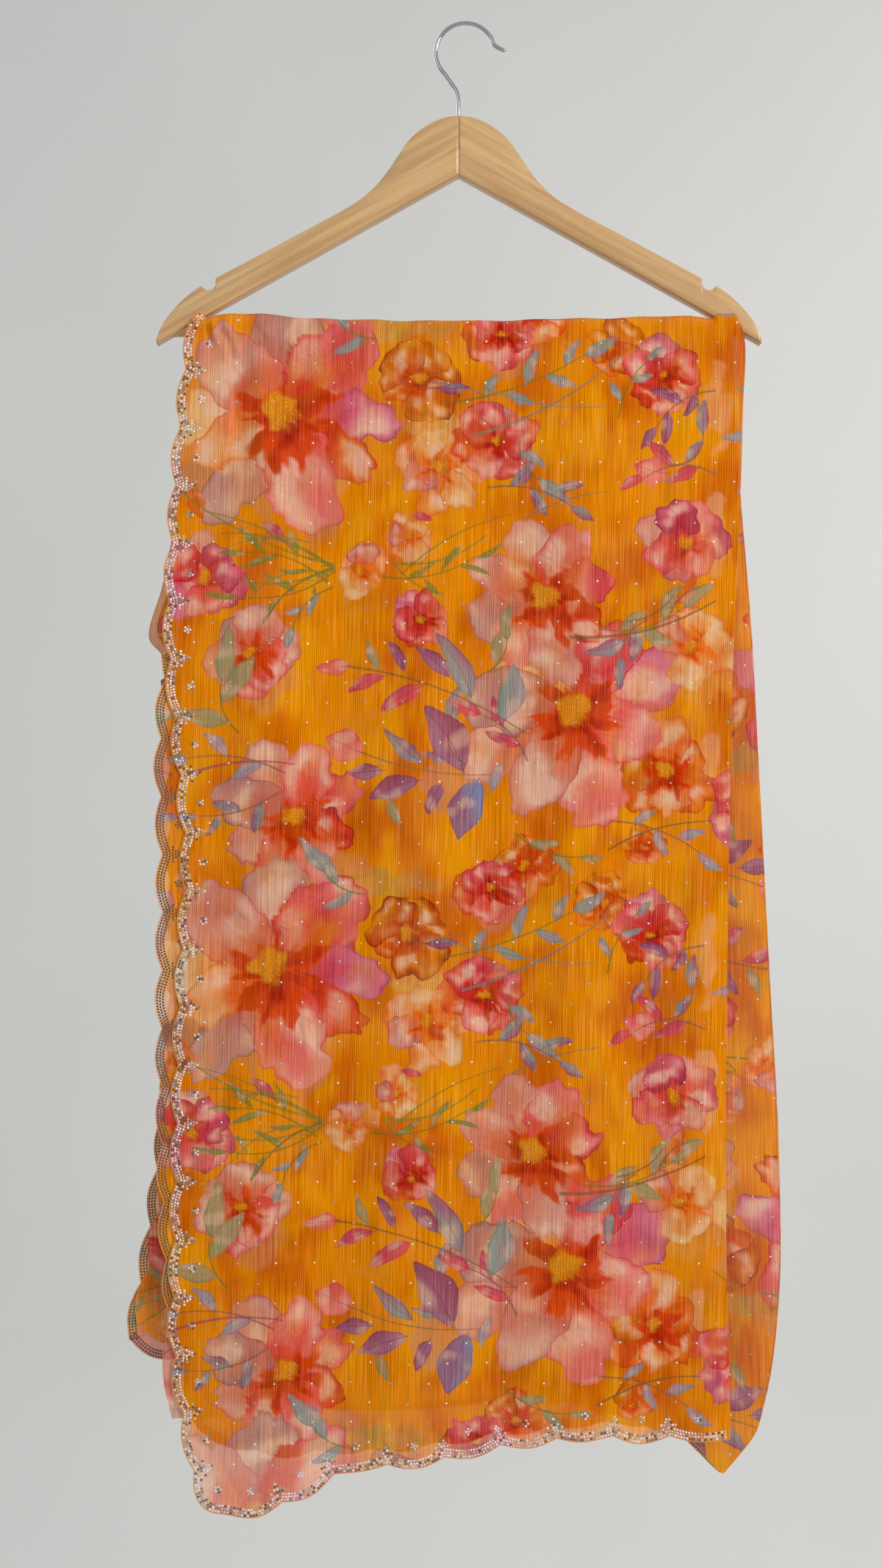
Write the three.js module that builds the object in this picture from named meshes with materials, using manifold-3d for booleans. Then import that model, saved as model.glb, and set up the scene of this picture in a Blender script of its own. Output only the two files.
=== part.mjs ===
// A printed chiffon saree, folded in half along its length and hung in passes over the trouser bar
// of a wooden hanger. Millimetres, +Z up, +X towards the right arm, -Y towards the front of the cloth.
// The origin is the point where a nail or rail holds the hook: under the top of its wire.

import * as THREE from "three";
import { mergeVertices } from "three/addons/utils/BufferGeometryUtils.js";
import Module from "manifold-3d";

const wasm = await Module();
wasm.setup();

// ---------------------------------------------------------------- driving dimensions

const seamX = -5; // the hanger's centre line: the loop of the hook stands a little to its right
const seamGap = 0.15; // half the glue line between the two arms
const fit = 0.3; // clearance between pieces that touch

const arm = {
  thickness: 12,
  apexZ: -111.6, // underside of the arms at the seam
  fall: 0.557, // drop of the underside for each millimetre along X
  reach: 221.5, // seam to tip
  ridgeAtSeam: 21, // height of the bevel's ridge over the underside
  ridgeTaper: 0.04,
  topThickness: 8.4, // between the bevels at the upper edge
  edge: 1, // small chamfer all round
  tipHeight: 2.4,
};

// The upper edge of an arm: distance from the seam and height.
const upperEdge = [
  { reach: 0, z: -67.4 },
  { reach: 10, z: -68.9 },
  { reach: 20, z: -72.8 },
  { reach: 29, z: -78.6 },
  { reach: 36, z: -85 },
  { reach: 43, z: -94.6 },
  { reach: 50, z: -105.2 },
  { reach: 57, z: -114.8 },
  { reach: 64, z: -122.1 },
  { reach: 71, z: -128.4 },
  { reach: 80, z: -134.2 },
  { reach: 92, z: -141 },
  { reach: 120, z: -155.8 },
  { reach: 150, z: -171.8 },
  { reach: 178, z: -186.6 },
  { reach: 190, z: -193.1 },
  { reach: 200, z: -200.4 },
  { reach: 207, z: -207.3 },
  { reach: 213, z: -214.8 },
  { reach: 217.5, z: -221.8 },
  { reach: 220.5, z: -228.2 },
  { reach: 221.5, z: -231.7 },
];

const strapNotch = { reach: 183.5, z: -190.2, radius: 5.4, sides: 20 };

const hook = {
  wire: 3,
  loopRadius: 21.8, // to the middle of the wire
  loopStart: 0.045, // angles in turns, from +X: from the mouth, over the top, to the neck
  loopEnd: 0.625,
  loopSteps: 15,
  sides: 10,
  steps: 44,
  stemDepth: 24, // length of the stem inside the wood
  boreSides: 12,
  boreAbove: 5, // how far the cutting rod starts over the wood
};

// The wire before its loop, where the mouth flicks outwards to slip over a rail, and after it,
// down to the straight stem.
const hookMouth = [
  { x: 29.6, z: -18.9 },
  { x: 25.4, z: -17.4 },
];
const hookNeck = [
  { x: -10.6, z: -42.6 },
  { x: -7, z: -48 },
  { x: -5.4, z: -54 },
  { x: seamX, z: -62 },
  { x: seamX, z: -76 },
];

const bar = { radius: 4.5, centreZ: -224.7, halfLength: 213, sides: 20 };

const cloth = {
  wall: 1,
  lap: 1.5, // from the middle of one layer to the next
  innerY: 6.8, // from the bar's axis to the middle of the inner layers
  firstX: -186, // the columns that every layer shares
  columnStep: 18,
  columns: 21,
  rows: 16, // and the rows that every layer shares, from the bar down
  rowStep: 44,
  cornerTaper: 0.8, // the shared columns stop this much higher for each millimetre near the corner
  cornerX: -150,
  scallop: 43, // length of one scallop along the edge
  scallopDepth: 5,
  pointsPerScallop: 4,
  hemMargin: 12, // plain cloth between the last row and the cut edge
  foldRadius: 1.25,
  foldProud: 0.35, // the rounded fold stands this much further out than the two layers
  foldHem: 1, // and reaches this much less far down
  hemClear: 8, // the scallops of the hem stop this far from the fold
  flapTopZ: -214.2, // the corners stand up in front of and behind the arms
};
const outerHalf = cloth.innerY + 2 * cloth.lap + cloth.wall / 2;
const saddleRise = 7; // the bundle is flatter over the bar than it is wide
const fallTopZ = bar.centreZ - fit; // top of the falls, just under the wrap
const saddleHalf = 185.4; // the wrap over the bar ends where the arms come down to it
const flapInner = { left: seamX - 187.5, right: seamX + 187.5 };
const flapSlope = { left: [1.6, -0.6], right: [-1.2, 0.4] }; // run of its side, low and high

// Soft vertical folds: middle and half width along X, depth in Y, drift of the middle over the drop,
// and the share of the drop at which the fold has opened.
const frontFolds = [
  { x: -152, half: 26, depth: -3, drift: 6, opens: 0.1 },
  { x: -98, half: 24, depth: 2.6, drift: 10, opens: 0.35 },
  { x: -38, half: 30, depth: -3.2, drift: -8, opens: 0.5 },
  { x: 28, half: 27, depth: 2.8, drift: -6, opens: 0.3 },
  { x: 88, half: 22, depth: -3.6, drift: -12, opens: 0.12 },
  { x: 134, half: 21, depth: 2.4, drift: 4, opens: 0.4 },
];
const backFolds = [
  { x: -140, half: 30, depth: 3, drift: -10, opens: 0.2 },
  { x: -70, half: 25, depth: -3, drift: 8, opens: 0.4 },
  { x: 0, half: 28, depth: 3.2, drift: 12, opens: 0.3 },
  { x: 66, half: 24, depth: -2.8, drift: 6, opens: 0.5 },
  { x: 128, half: 26, depth: 3.4, drift: 14, opens: 0.15 },
];

// Outlines in the XZ plane, before the scallops: the open edge on the left, from the top down,
// the hem from left to right, and the folded edge on the right, from the top down.
const frontOuter = {
  edge: [
    { x: -196, z: -213.5 },
    { x: -200, z: -232 },
    { x: -203.5, z: -250 },
    { x: -207.5, z: -292 },
    { x: -211.5, z: -337 },
    { x: -213.5, z: -376 },
    { x: -216.5, z: -430 },
    { x: -213.5, z: -495 },
    { x: -206.5, z: -565 },
    { x: -203.8, z: -613 },
    { x: -206.5, z: -678 },
    { x: -209.5, z: -750 },
    { x: -211, z: -843 },
    { x: -212, z: -900 },
    { x: -213, z: -950 },
    { x: -209, z: -999 },
    { x: -202.5, z: -1036 },
    { x: -197.5, z: -1062 },
    { x: -188.5, z: -1082 },
    { x: -174, z: -1090.5 },
  ],
  hem: [
    { x: -174, z: -1090.5 },
    { x: -150, z: -1086 },
    { x: -120, z: -1075 },
    { x: -82, z: -1056 },
    { x: -40, z: -1052 },
    { x: 0, z: -1046 },
    { x: 43, z: -1038 },
    { x: 86, z: -1032 },
    { x: 130, z: -1035 },
    { x: 172, z: -1033 },
    { x: 190, z: -1036 },
  ],
};
const frontTurned = {
  edge: [
    { x: -198, z: -230 },
    { x: -206, z: -252 },
    { x: -210, z: -280 },
    { x: -211, z: -300 },
    { x: -211, z: -340 },
    { x: -214, z: -400 },
    { x: -219, z: -460 },
    { x: -221.5, z: -500 },
    { x: -223, z: -545 },
    { x: -222, z: -586 },
    { x: -221.5, z: -625 },
    { x: -222, z: -720 },
    { x: -221.5, z: -800 },
    { x: -219, z: -900 },
    { x: -215, z: -940 },
    { x: -208, z: -975 },
    { x: -201, z: -1008 },
    { x: -194, z: -1030 },
  ],
  hem: [
    { x: -194, z: -1030 },
    { x: -150, z: -1043 },
    { x: -90, z: -1043 },
    { x: -40, z: -1039 },
    { x: 20, z: -1032 },
    { x: 86, z: -1022 },
    { x: 130, z: -1023 },
    { x: 190, z: -1025 },
  ],
};
const frontFoldEdge = [
  { z: -214, x: 197 },
  { z: -232, x: 203.5 },
  { z: -283, x: 202.5 },
  { z: -334, x: 201 },
  { z: -396, x: 198 },
  { z: -457, x: 195.7 },
  { z: -570, x: 193 },
  { z: -674, x: 191.4 },
  { z: -800, x: 190 },
  { z: -895, x: 190.4 },
  { z: -970, x: 192.2 },
  { z: -1040, x: 193.6 },
];
const backOuter = {
  plainAbove: -480,
  edge: [
    { x: -196, z: -213.5 },
    { x: -205, z: -290 },
    { x: -213, z: -350 },
    { x: -224, z: -410 },
    { x: -234, z: -450 },
    { x: -224.6, z: -463 },
    { x: -219, z: -500 },
    { x: -218, z: -560 },
    { x: -218, z: -700 },
    { x: -222, z: -790 },
    { x: -229, z: -850 },
    { x: -236, z: -903 },
    { x: -243, z: -940 },
    { x: -249, z: -969 },
  ],
  hem: [
    { x: -249, z: -969 },
    { x: -226, z: -979 },
    { x: -120, z: -988 },
    { x: 0, z: -1000 },
    { x: 90, z: -1016 },
    { x: 150, z: -1036 },
    { x: 176.8, z: -1050 },
    { x: 188, z: -1068 },
  ],
};
const backTurned = {
  plainAbove: -480,
  edge: [
    { x: -197, z: -230 },
    { x: -205, z: -300 },
    { x: -211, z: -350 },
    { x: -219, z: -410 },
    { x: -228, z: -445 },
    { x: -219, z: -463 },
    { x: -214, z: -500 },
    { x: -214, z: -600 },
    { x: -214, z: -760 },
    { x: -219, z: -830 },
    { x: -229, z: -890 },
    { x: -238, z: -935 },
    { x: -243, z: -958 },
  ],
  hem: [
    { x: -243, z: -958 },
    { x: -210, z: -970 },
    { x: -120, z: -980 },
    { x: 0, z: -994 },
    { x: 90, z: -1011 },
    { x: 150, z: -1031 },
    { x: 176.8, z: -1046 },
    { x: 187, z: -1064 },
  ],
};
const backFoldEdge = [
  { z: -214, x: 196 },
  { z: -290, x: 200 },
  { z: -354, x: 204.5 },
  { z: -445, x: 212 },
  { z: -520, x: 216 },
  { z: -628, x: 221.5 },
  { z: -714, x: 226 },
  { z: -800, x: 231 },
  { z: -880, x: 233.3 },
  { z: -920, x: 233.1 },
  { z: -948, x: 231.5 },
  { z: -992, x: 226.5 },
  { z: -1020, x: 220.5 },
  { z: -1038, x: 215 },
  { z: -1057, x: 201 },
  { z: -1068, x: 191.5 },
];
const frontInner = {
  edge: [
    { z: -224, x: -190 },
    { z: -500, x: -199 },
    { z: -880, x: -203 },
    { z: -930, x: -212 },
    { z: -984, x: -222 },
    { z: -1022, x: -215 },
  ],
  rightX: 179,
  hem: [
    { x: -230, z: -1023 },
    { x: 0, z: -1012 },
    { x: 200, z: -1004 },
  ],
};
const backInner = {
  edge: [
    { z: -228, x: -190 },
    { z: -980, x: -204 },
  ],
  rightX: 179,
  hem: [
    { x: -230, z: -948 },
    { x: 200, z: -962 },
  ],
};

// How far the wrap over the bar is heaped up towards the arms.
const saddleLift = [
  { x: -191, lift: 0.8 },
  { x: -184, lift: 4 },
  { x: -172, lift: 5.6 },
  { x: -150, lift: 5 },
  { x: -120, lift: 2.6 },
  { x: -90, lift: 1 },
  { x: -40, lift: 0.2 },
  { x: 10, lift: 0 },
  { x: 65, lift: 1.4 },
  { x: 110, lift: 2.4 },
  { x: 146, lift: 3.4 },
  { x: 166, lift: 3.6 },
  { x: 176, lift: 2.6 },
  { x: 181, lift: 0.8 },
];

// ---------------------------------------------------------------- helpers

const clamp = (value, low, high) => Math.min(high, Math.max(low, value));

// The value in column `out` of a table at `at` in column `key`, straight between its rows.
function lookUp(table, key, at, out) {
  const rising = table[table.length - 1][key] > table[0][key];
  const rows = rising ? table : [...table].reverse();
  if (at <= rows[0][key]) return rows[0][out];
  for (let i = 1; i < rows.length; i++) {
    const [a, b] = [rows[i - 1], rows[i]];
    if (at <= b[key]) return a[out] + ((b[out] - a[out]) * (at - a[key])) / (b[key] - a[key]);
  }
  return rows[rows.length - 1][out];
}

function meshOf(name, geometry, material) {
  const mesh = new THREE.Mesh(geometry, material);
  mesh.name = name;
  return mesh;
}

// A closed body through sections with the same even number of points, capped at both ends.
function loft(sections) {
  const count = sections[0].length;
  const vertices = sections.flat().flatMap((p) => p.toArray());
  const index = [];
  for (let i = 0; i + 1 < sections.length; i++) {
    for (let j = 0; j < count; j++) {
      const a = i * count + j;
      const b = i * count + ((j + 1) % count);
      index.push(a, b, b + count, a, b + count, a + count);
    }
  }
  // The caps pair each point of the first half of the outline with its partner in the second half.
  const last = (sections.length - 1) * count;
  for (let j = 0; j + 1 < count / 2; j++) {
    const [a, b, c, d] = [j, j + 1, count - 2 - j, count - 1 - j];
    index.push(a, c, b, a, d, c);
    index.push(last + a, last + b, last + c, last + a, last + c, last + d);
  }
  const geometry = new THREE.BufferGeometry();
  geometry.setAttribute("position", new THREE.Float32BufferAttribute(vertices, 3));
  geometry.setIndex(index);
  return geometry;
}

// The solid of a closed geometry, and a geometry from a solid.
function solidOf(geometry) {
  const bare = new THREE.BufferGeometry();
  bare.setAttribute("position", geometry.getAttribute("position"));
  if (geometry.index) bare.setIndex(geometry.index);
  const merged = mergeVertices(bare, 1e-4);
  return new wasm.Manifold(
    new wasm.Mesh({
      numProp: 3,
      vertProperties: new Float32Array(merged.attributes.position.array),
      triVerts: new Uint32Array(merged.index.array),
    }),
  );
}

function geometryOf(solid) {
  const mesh = solid.getMesh();
  const geometry = new THREE.BufferGeometry();
  geometry.setAttribute("position", new THREE.BufferAttribute(mesh.vertProperties, 3));
  geometry.setIndex(new THREE.BufferAttribute(mesh.triVerts, 1));
  return geometry;
}

// A round rod between two points on a line along X, Y or Z.
function rod(radius, sides, from, to) {
  const along = new THREE.Vector3().subVectors(to, from);
  const geometry = new THREE.CylinderGeometry(radius, radius, along.length(), sides);
  const turn = new THREE.Quaternion().setFromUnitVectors(
    new THREE.Vector3(0, 1, 0),
    along.clone().normalize(),
  );
  geometry.applyQuaternion(turn);
  const middle = new THREE.Vector3().addVectors(from, to).multiplyScalar(0.5);
  return geometry.translate(middle.x, middle.y, middle.z);
}

// ---------------------------------------------------------------- hanger

const loopCentre = new THREE.Vector3(0, 0, -(hook.loopRadius - hook.wire / 2));

function loopPoint(turns) {
  const angle = turns * 2 * Math.PI;
  return new THREE.Vector3(
    loopCentre.x + hook.loopRadius * Math.cos(angle),
    0,
    loopCentre.z + hook.loopRadius * Math.sin(angle),
  );
}

function makeHook(material) {
  const inPlane = ({ x, z }) => new THREE.Vector3(x, 0, z);
  const loop = Array.from({ length: hook.loopSteps + 1 }, (_, i) => {
    const share = i / hook.loopSteps;
    return loopPoint(hook.loopStart + (hook.loopEnd - hook.loopStart) * share);
  });
  const stemEnd = new THREE.Vector3(seamX, 0, upperEdge[0].z - hook.stemDepth);
  const points = [...hookMouth.map(inPlane), ...loop, ...hookNeck.map(inPlane), stemEnd];
  const circle = new THREE.Shape(
    Array.from({ length: hook.sides }, (_, i) => {
      const angle = (2 * Math.PI * i) / hook.sides;
      return new THREE.Vector2(Math.cos(angle), Math.sin(angle)).multiplyScalar(hook.wire / 2);
    }),
  );
  const geometry = new THREE.ExtrudeGeometry(circle, {
    steps: hook.steps,
    extrudePath: new THREE.CatmullRomCurve3(points, false, "centripetal"),
    bevelEnabled: false,
  });
  return meshOf("hook", geometry, material);
}

const underside = (reach) => arm.apexZ - arm.fall * reach;

// One arm as sections from the seam to the tip; side is -1 for the left arm and 1 for the right.
function makeArm(name, side, material) {
  const half = arm.thickness / 2;
  const topHalf = arm.topThickness / 2;
  const sections = upperEdge.map((row, i) => {
    const reach = i ? row.reach : seamGap;
    const low = underside(reach);
    const high = Math.max(row.z, low + arm.tipHeight);
    const wanted = Math.min(low + arm.ridgeAtSeam - arm.ridgeTaper * reach, high - arm.edge);
    const ridge = Math.max(wanted, low + arm.edge * 1.1);
    const profile = [
      [-half + arm.edge, low],
      [-half, low + arm.edge],
      [-half, ridge],
      [-topHalf, high - arm.edge / 2],
      [-topHalf + arm.edge, high],
      [topHalf - arm.edge, high],
      [topHalf, high - arm.edge / 2],
      [half, ridge],
      [half, low + arm.edge],
      [half - arm.edge, low],
    ];
    const points = profile.map(([y, z]) => new THREE.Vector3(seamX + side * reach, y, z));
    return side > 0 ? points.reverse() : points;
  });
  const stemHole = rod(
    hook.wire / 2 + fit,
    hook.boreSides,
    new THREE.Vector3(seamX, 0, upperEdge[0].z - hook.stemDepth - fit),
    new THREE.Vector3(seamX, 0, upperEdge[0].z + hook.boreAbove),
  );
  const notchX = seamX + side * strapNotch.reach;
  const notch = rod(
    strapNotch.radius,
    strapNotch.sides,
    new THREE.Vector3(notchX, -arm.thickness, strapNotch.z),
    new THREE.Vector3(notchX, arm.thickness, strapNotch.z),
  );
  const barHole = rod(
    bar.radius + fit,
    bar.sides,
    new THREE.Vector3(seamX, 0, bar.centreZ),
    new THREE.Vector3(seamX + side * (bar.halfLength + fit), 0, bar.centreZ),
  );
  const solid = [stemHole, notch, barHole].reduce(
    (body, tool) => body.subtract(solidOf(tool)),
    solidOf(loft(sections)),
  );
  return meshOf(name, geometryOf(solid), material);
}

function makeBar(material) {
  const geometry = rod(
    bar.radius,
    bar.sides,
    new THREE.Vector3(seamX - bar.halfLength, 0, bar.centreZ),
    new THREE.Vector3(seamX + bar.halfLength, 0, bar.centreZ),
  );
  return meshOf("trouser_bar", geometry, material);
}

// ---------------------------------------------------------------- cloth

const columnsX = Array.from(
  { length: cloth.columns },
  (_, i) => cloth.firstX + cloth.columnStep * i,
);
const lastX = columnsX[columnsX.length - 1];

// The depth of the soft folds at a crossing of a shared column and a shared row.
function crossingDepth(folds, column, row) {
  const drop = row / cloth.rows;
  return folds.reduce((sum, f) => {
    const opened = clamp(drop / f.opens, 0, 1);
    const away = (columnsX[column] - f.x - f.drift * drop) / f.half;
    return sum + f.depth * opened * opened * (3 - 2 * opened) * Math.exp(-away * away);
  }, 0);
}

// How far the soft folds move a layer along Y. It is straight between the crossings, so that
// layers with the same folds lie on each other without touching.
function foldDepth(folds, x, z) {
  const across = clamp((x - cloth.firstX) / cloth.columnStep, 0, cloth.columns - 1);
  const down = clamp((fallTopZ - z) / cloth.rowStep, 0, cloth.rows);
  const column = Math.min(Math.floor(across), cloth.columns - 2);
  const row = Math.min(Math.floor(down), cloth.rows - 1);
  const [u, v] = [across - column, down - row];
  const along = (r) =>
    (1 - u) * crossingDepth(folds, column, r) + u * crossingDepth(folds, column + 1, r);
  return (1 - v) * along(row) + v * along(row + 1);
}

// Heights down one column: its top, the shared rows, and two rows towards its bottom.
function levels(top, bottom) {
  const shared = Array.from({ length: cloth.rows }, (_, i) => fallTopZ - cloth.rowStep * (i + 1));
  return [top, ...shared, (shared[cloth.rows - 1] + bottom) / 2, bottom];
}
const lastRow = cloth.rows + 2;

// Points every quarter of a scallop along a row of table points, pushed out between the cusps.
// Above plainAbove the edge is the plain one of an inner pass.
function scalloped(table, plainAbove = Infinity) {
  const path = new THREE.CatmullRomCurve3(
    table.map((row) => new THREE.Vector3(row.x, 0, row.z)),
    false,
    "centripetal",
  );
  const scallops = Math.round(path.getLength() / cloth.scallop);
  const count = scallops * cloth.pointsPerScallop;
  return Array.from({ length: count + 1 }, (_, i) => {
    const at = path.getPointAt(i / count);
    const along = path.getTangentAt(i / count);
    const out = new THREE.Vector3(along.z, 0, -along.x);
    const bulge = Math.sin((Math.PI * (i % cloth.pointsPerScallop)) / cloth.pointsPerScallop);
    return at.z > plainAbove ? at : at.addScaledVector(out, cloth.scallopDepth * bulge);
  });
}

// A cloth wall from the points of its middle, their normals and its triangles.
function wall(name, points, triangles, material) {
  const half = cloth.wall / 2;
  const front = points.flatMap(({ p, n }) => p.clone().addScaledVector(n, half).toArray());
  const back = points.flatMap(({ p, n }) => p.clone().addScaledVector(n, -half).toArray());
  const count = points.length;
  const index = [];
  const edges = new Map();
  for (const [a, b, c] of triangles) {
    index.push(a, b, c, a + count, c + count, b + count);
    for (const [from, to] of [
      [a, b],
      [b, c],
      [c, a],
    ]) {
      if (!edges.delete(`${to},${from}`)) edges.set(`${from},${to}`, [from, to]);
    }
  }
  for (const [from, to] of edges.values()) {
    index.push(from, from + count, to + count, from, to + count, to);
  }
  const geometry = new THREE.BufferGeometry();
  geometry.setAttribute("position", new THREE.Float32BufferAttribute([...front, ...back], 3));
  geometry.setIndex(index);
  return meshOf(name, geometry, material);
}

// Triangles between two rows of point numbers of different length, by the shorter diagonal.
function zip(points, a, b) {
  const triangles = [];
  const apart = (m, n) => points[m].p.distanceTo(points[n].p);
  let [i, j] = [0, 0];
  while (i + 1 < a.length || j + 1 < b.length) {
    const stepA = i + 1 < a.length ? apart(a[i + 1], b[j]) : Infinity;
    const stepB = j + 1 < b.length ? apart(a[i], b[j + 1]) : Infinity;
    if (stepA < stepB) triangles.push([a[i], b[j], a[++i]]);
    else triangles.push([a[i], b[j], b[++j]]);
  }
  return triangles;
}

// One length of cloth folded in half, with the fold on the right: an outer half and a half turned
// back behind it. side is -1 in front of the bar and 1 behind it.
function foldedFall(name, side, outer, turned, foldEdge, folds, material) {
  const outerY = cloth.innerY + 2 * cloth.lap;
  const turnedY = cloth.innerY + cloth.lap;
  const out = new THREE.Vector3(0, side, 0);
  const into = new THREE.Vector3(0, -side, 0);
  const points = [];
  const place = (x, y, z, n) => points.push({ p: new THREE.Vector3(x, y, z), n }) - 1;
  const layerY = (depth, x, z) => side * depth + foldDepth(folds, x, z);

  // A column from the top row to the row above the hem. foldTurn is undefined on the two halves,
  // and runs from 0 to 1 round the folded edge.
  function column(x, depth, hem, normal, foldTurn) {
    const atFold = foldTurn !== undefined;
    const top = x > flapInner.right || atFold ? cloth.flapTopZ : fallTopZ;
    const taper = cloth.cornerTaper * Math.max(0, cloth.cornerX - x);
    const bottom = lookUp(hem, "x", x, "z") + cloth.hemMargin + taper;
    return levels(top, bottom).map((z) => {
      if (!atFold) return place(x, layerY(depth, x, z), z, normal);
      const edgeX = lookUp(foldEdge, "z", z, "x") - cloth.wall / 2 - cloth.foldRadius;
      const angle = Math.PI * foldTurn;
      const n = new THREE.Vector3(Math.sin(angle), side * Math.cos(angle), 0);
      const middle = layerY((outerY + turnedY) / 2 + cloth.foldProud, lastX, z);
      const px = edgeX + cloth.foldRadius * n.x;
      return place(px, middle + cloth.foldRadius * n.y, z, n);
    });
  }

  const stripX = flapSlope.right.map((run) => flapInner.right + run);
  const foldX = foldEdge[foldEdge.length - 1].x;
  const outerColumns = [...columnsX, ...stripX].map((x) => column(x, outerY, outer.hem, out));
  const roundTurns = [0, 0.25, 0.5, 0.75, 1];
  const foldColumns = roundTurns.map((turn) => column(foldX, 0, outer.hem, out, turn));
  const turnedColumns = [...columnsX, ...stripX]
    .reverse()
    .map((x) => column(x, turnedY, turned.hem, into));
  const grid = [...outerColumns, ...foldColumns, ...turnedColumns];

  // Each cell is split along the same diagonal as in the layer beside it.
  const triangles = [];
  for (let c = 0; c + 1 < grid.length; c++) {
    const turnedBack = c >= outerColumns.length;
    for (let r = 0; r < lastRow; r++) {
      const [a, b] = [grid[c], grid[c + 1]];
      if (turnedBack) triangles.push([a[r], a[r + 1], b[r]], [a[r + 1], b[r + 1], b[r]]);
      else triangles.push([a[r], a[r + 1], b[r + 1]], [a[r], b[r + 1], b[r]]);
    }
  }

  // The open edge and the hem of each half, from the top of the open edge to the fold.
  function border(half, depth, normal, flapTop) {
    const at = ({ x, z }) => place(x, layerY(depth, x, z), z, normal);
    const edge = scalloped(half.edge, half.plainAbove);
    const hem = scalloped(half.hem).filter((p) => p.x < foldX - cloth.hemClear);
    const [low, high] = flapSlope.left.map((run) => flapInner.left + run);
    const start = [new THREE.Vector3(low, 0, fallTopZ)];
    if (flapTop) start.push(new THREE.Vector3(high, 0, flapTop));
    return [...start, ...edge, ...hem.slice(1)].map(at);
  }
  const outerBorder = border(outer, outerY, out, cloth.flapTopZ);
  const turnedBorder = border(turned, turnedY, into);
  const foldBottom = foldColumns.map((c) => {
    const last = points[c[lastRow]];
    const z = last.p.z - cloth.hemMargin + cloth.foldHem;
    const shift = lookUp(foldEdge, "z", z, "x") - lookUp(foldEdge, "z", last.p.z, "x");
    return place(last.p.x + shift, last.p.y, z, last.n);
  });
  const bottomRow = grid.map((c) => c[lastRow]);
  const inside = [
    ...grid[0].slice(0, -1),
    ...bottomRow,
    ...grid[grid.length - 1].slice(0, -1).reverse(),
  ];
  const outside = [...outerBorder, ...foldBottom, ...turnedBorder.reverse()];
  triangles.push(...zip(points, inside, outside).map(([a, b, c]) => [a, b, c]));
  const facing = side < 0 ? triangles : triangles.map(([a, b, c]) => [a, c, b]);
  return wall(name, points, facing, material);
}

// The hidden layers of the inner passes on one side of the bar, as one wall with plain edges.
function innerFall(name, side, outline, folds, material) {
  const normal = new THREE.Vector3(0, side, 0);
  const columns = [null, ...columnsX, outline.rightX];
  const points = [];
  for (const column of columns) {
    const bottom = lookUp(outline.hem, "x", column ?? outline.hem[0].x, "z");
    for (const z of levels(fallTopZ, bottom)) {
      const x = column ?? lookUp(outline.edge, "z", z, "x");
      const y = side * cloth.innerY + foldDepth(folds, x, z);
      points.push({ p: new THREE.Vector3(x, y, z), n: normal });
    }
  }
  const triangles = [];
  const stride = lastRow + 1;
  for (let c = 0; c + 1 < columns.length; c++) {
    for (let r = 0; r < lastRow; r++) {
      const a = c * stride + r;
      const b = a + stride;
      triangles.push([a, a + 1, b + 1], [a, b + 1, b]);
    }
  }
  const facing = side < 0 ? triangles : triangles.map(([a, b, c]) => [a, c, b]);
  return wall(name, points, facing, material);
}

// All the passes where they cross the bar: one bundle, heaped up a little towards the arms.
function makeSaddle(material) {
  const arcSteps = 10;
  const innerRadius = (bar.radius + fit) / Math.cos(Math.PI / arcSteps / 2);
  const sections = saddleLift.map(({ x, lift }) => {
    const at = clamp(x, seamX - saddleHalf, seamX + saddleHalf);
    const points = [];
    for (let i = 0; i <= arcSteps; i++) {
      const angle = (Math.PI * i) / arcSteps;
      const z = bar.centreZ + (saddleRise + lift) * Math.sin(angle);
      points.push(new THREE.Vector3(at, outerHalf * Math.cos(angle), z));
    }
    for (let i = arcSteps; i >= 0; i--) {
      const angle = (Math.PI * i) / arcSteps;
      const z = bar.centreZ + innerRadius * Math.sin(angle);
      points.push(new THREE.Vector3(at, innerRadius * Math.cos(angle), z));
    }
    return points;
  });
  return meshOf("bar_wrap", loft(sections), material);
}

// ---------------------------------------------------------------- assembly

const wood = new THREE.MeshStandardMaterial({ color: 0xc79a62, roughness: 0.45, metalness: 0 });
const wire = new THREE.MeshStandardMaterial({ color: 0xd8dadc, roughness: 0.12, metalness: 1 });
const chiffon = new THREE.MeshStandardMaterial({ color: 0xf29a12, roughness: 0.75, metalness: 0 });

const part = new THREE.Group();
part.add(
  makeHook(wire),
  makeArm("arm_left", -1, wood),
  makeArm("arm_right", 1, wood),
  makeBar(wood),
  makeSaddle(chiffon),
  foldedFall("front_fall", -1, frontOuter, frontTurned, frontFoldEdge, frontFolds, chiffon),
  innerFall("front_inner_fall", -1, frontInner, frontFolds, chiffon),
  innerFall("back_inner_fall", 1, backInner, backFolds, chiffon),
  foldedFall("back_fall", 1, backOuter, backTurned, backFoldEdge, backFolds, chiffon),
);

export default part;
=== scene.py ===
"""A printed crinkle-chiffon saree with a stone border, folded in half along its length and hung in
passes over the bar of a wooden suit hanger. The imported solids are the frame. This script makes the
cloth, its print, its stones and every finish around them.

Sizes are in millimetres and are turned to metres where a mesh is made. +X runs towards the right
arm, -Y towards the front of the cloth and +Z up, from the point where the hook is held.
"""

import math

import bpy
import numpy as np
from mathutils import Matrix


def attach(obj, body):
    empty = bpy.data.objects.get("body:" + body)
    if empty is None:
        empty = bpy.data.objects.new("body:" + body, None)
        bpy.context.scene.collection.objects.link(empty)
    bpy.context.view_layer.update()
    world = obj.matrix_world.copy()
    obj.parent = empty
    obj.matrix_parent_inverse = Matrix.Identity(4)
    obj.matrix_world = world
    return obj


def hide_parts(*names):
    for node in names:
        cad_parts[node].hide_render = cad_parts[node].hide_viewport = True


MM = 0.001

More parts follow.
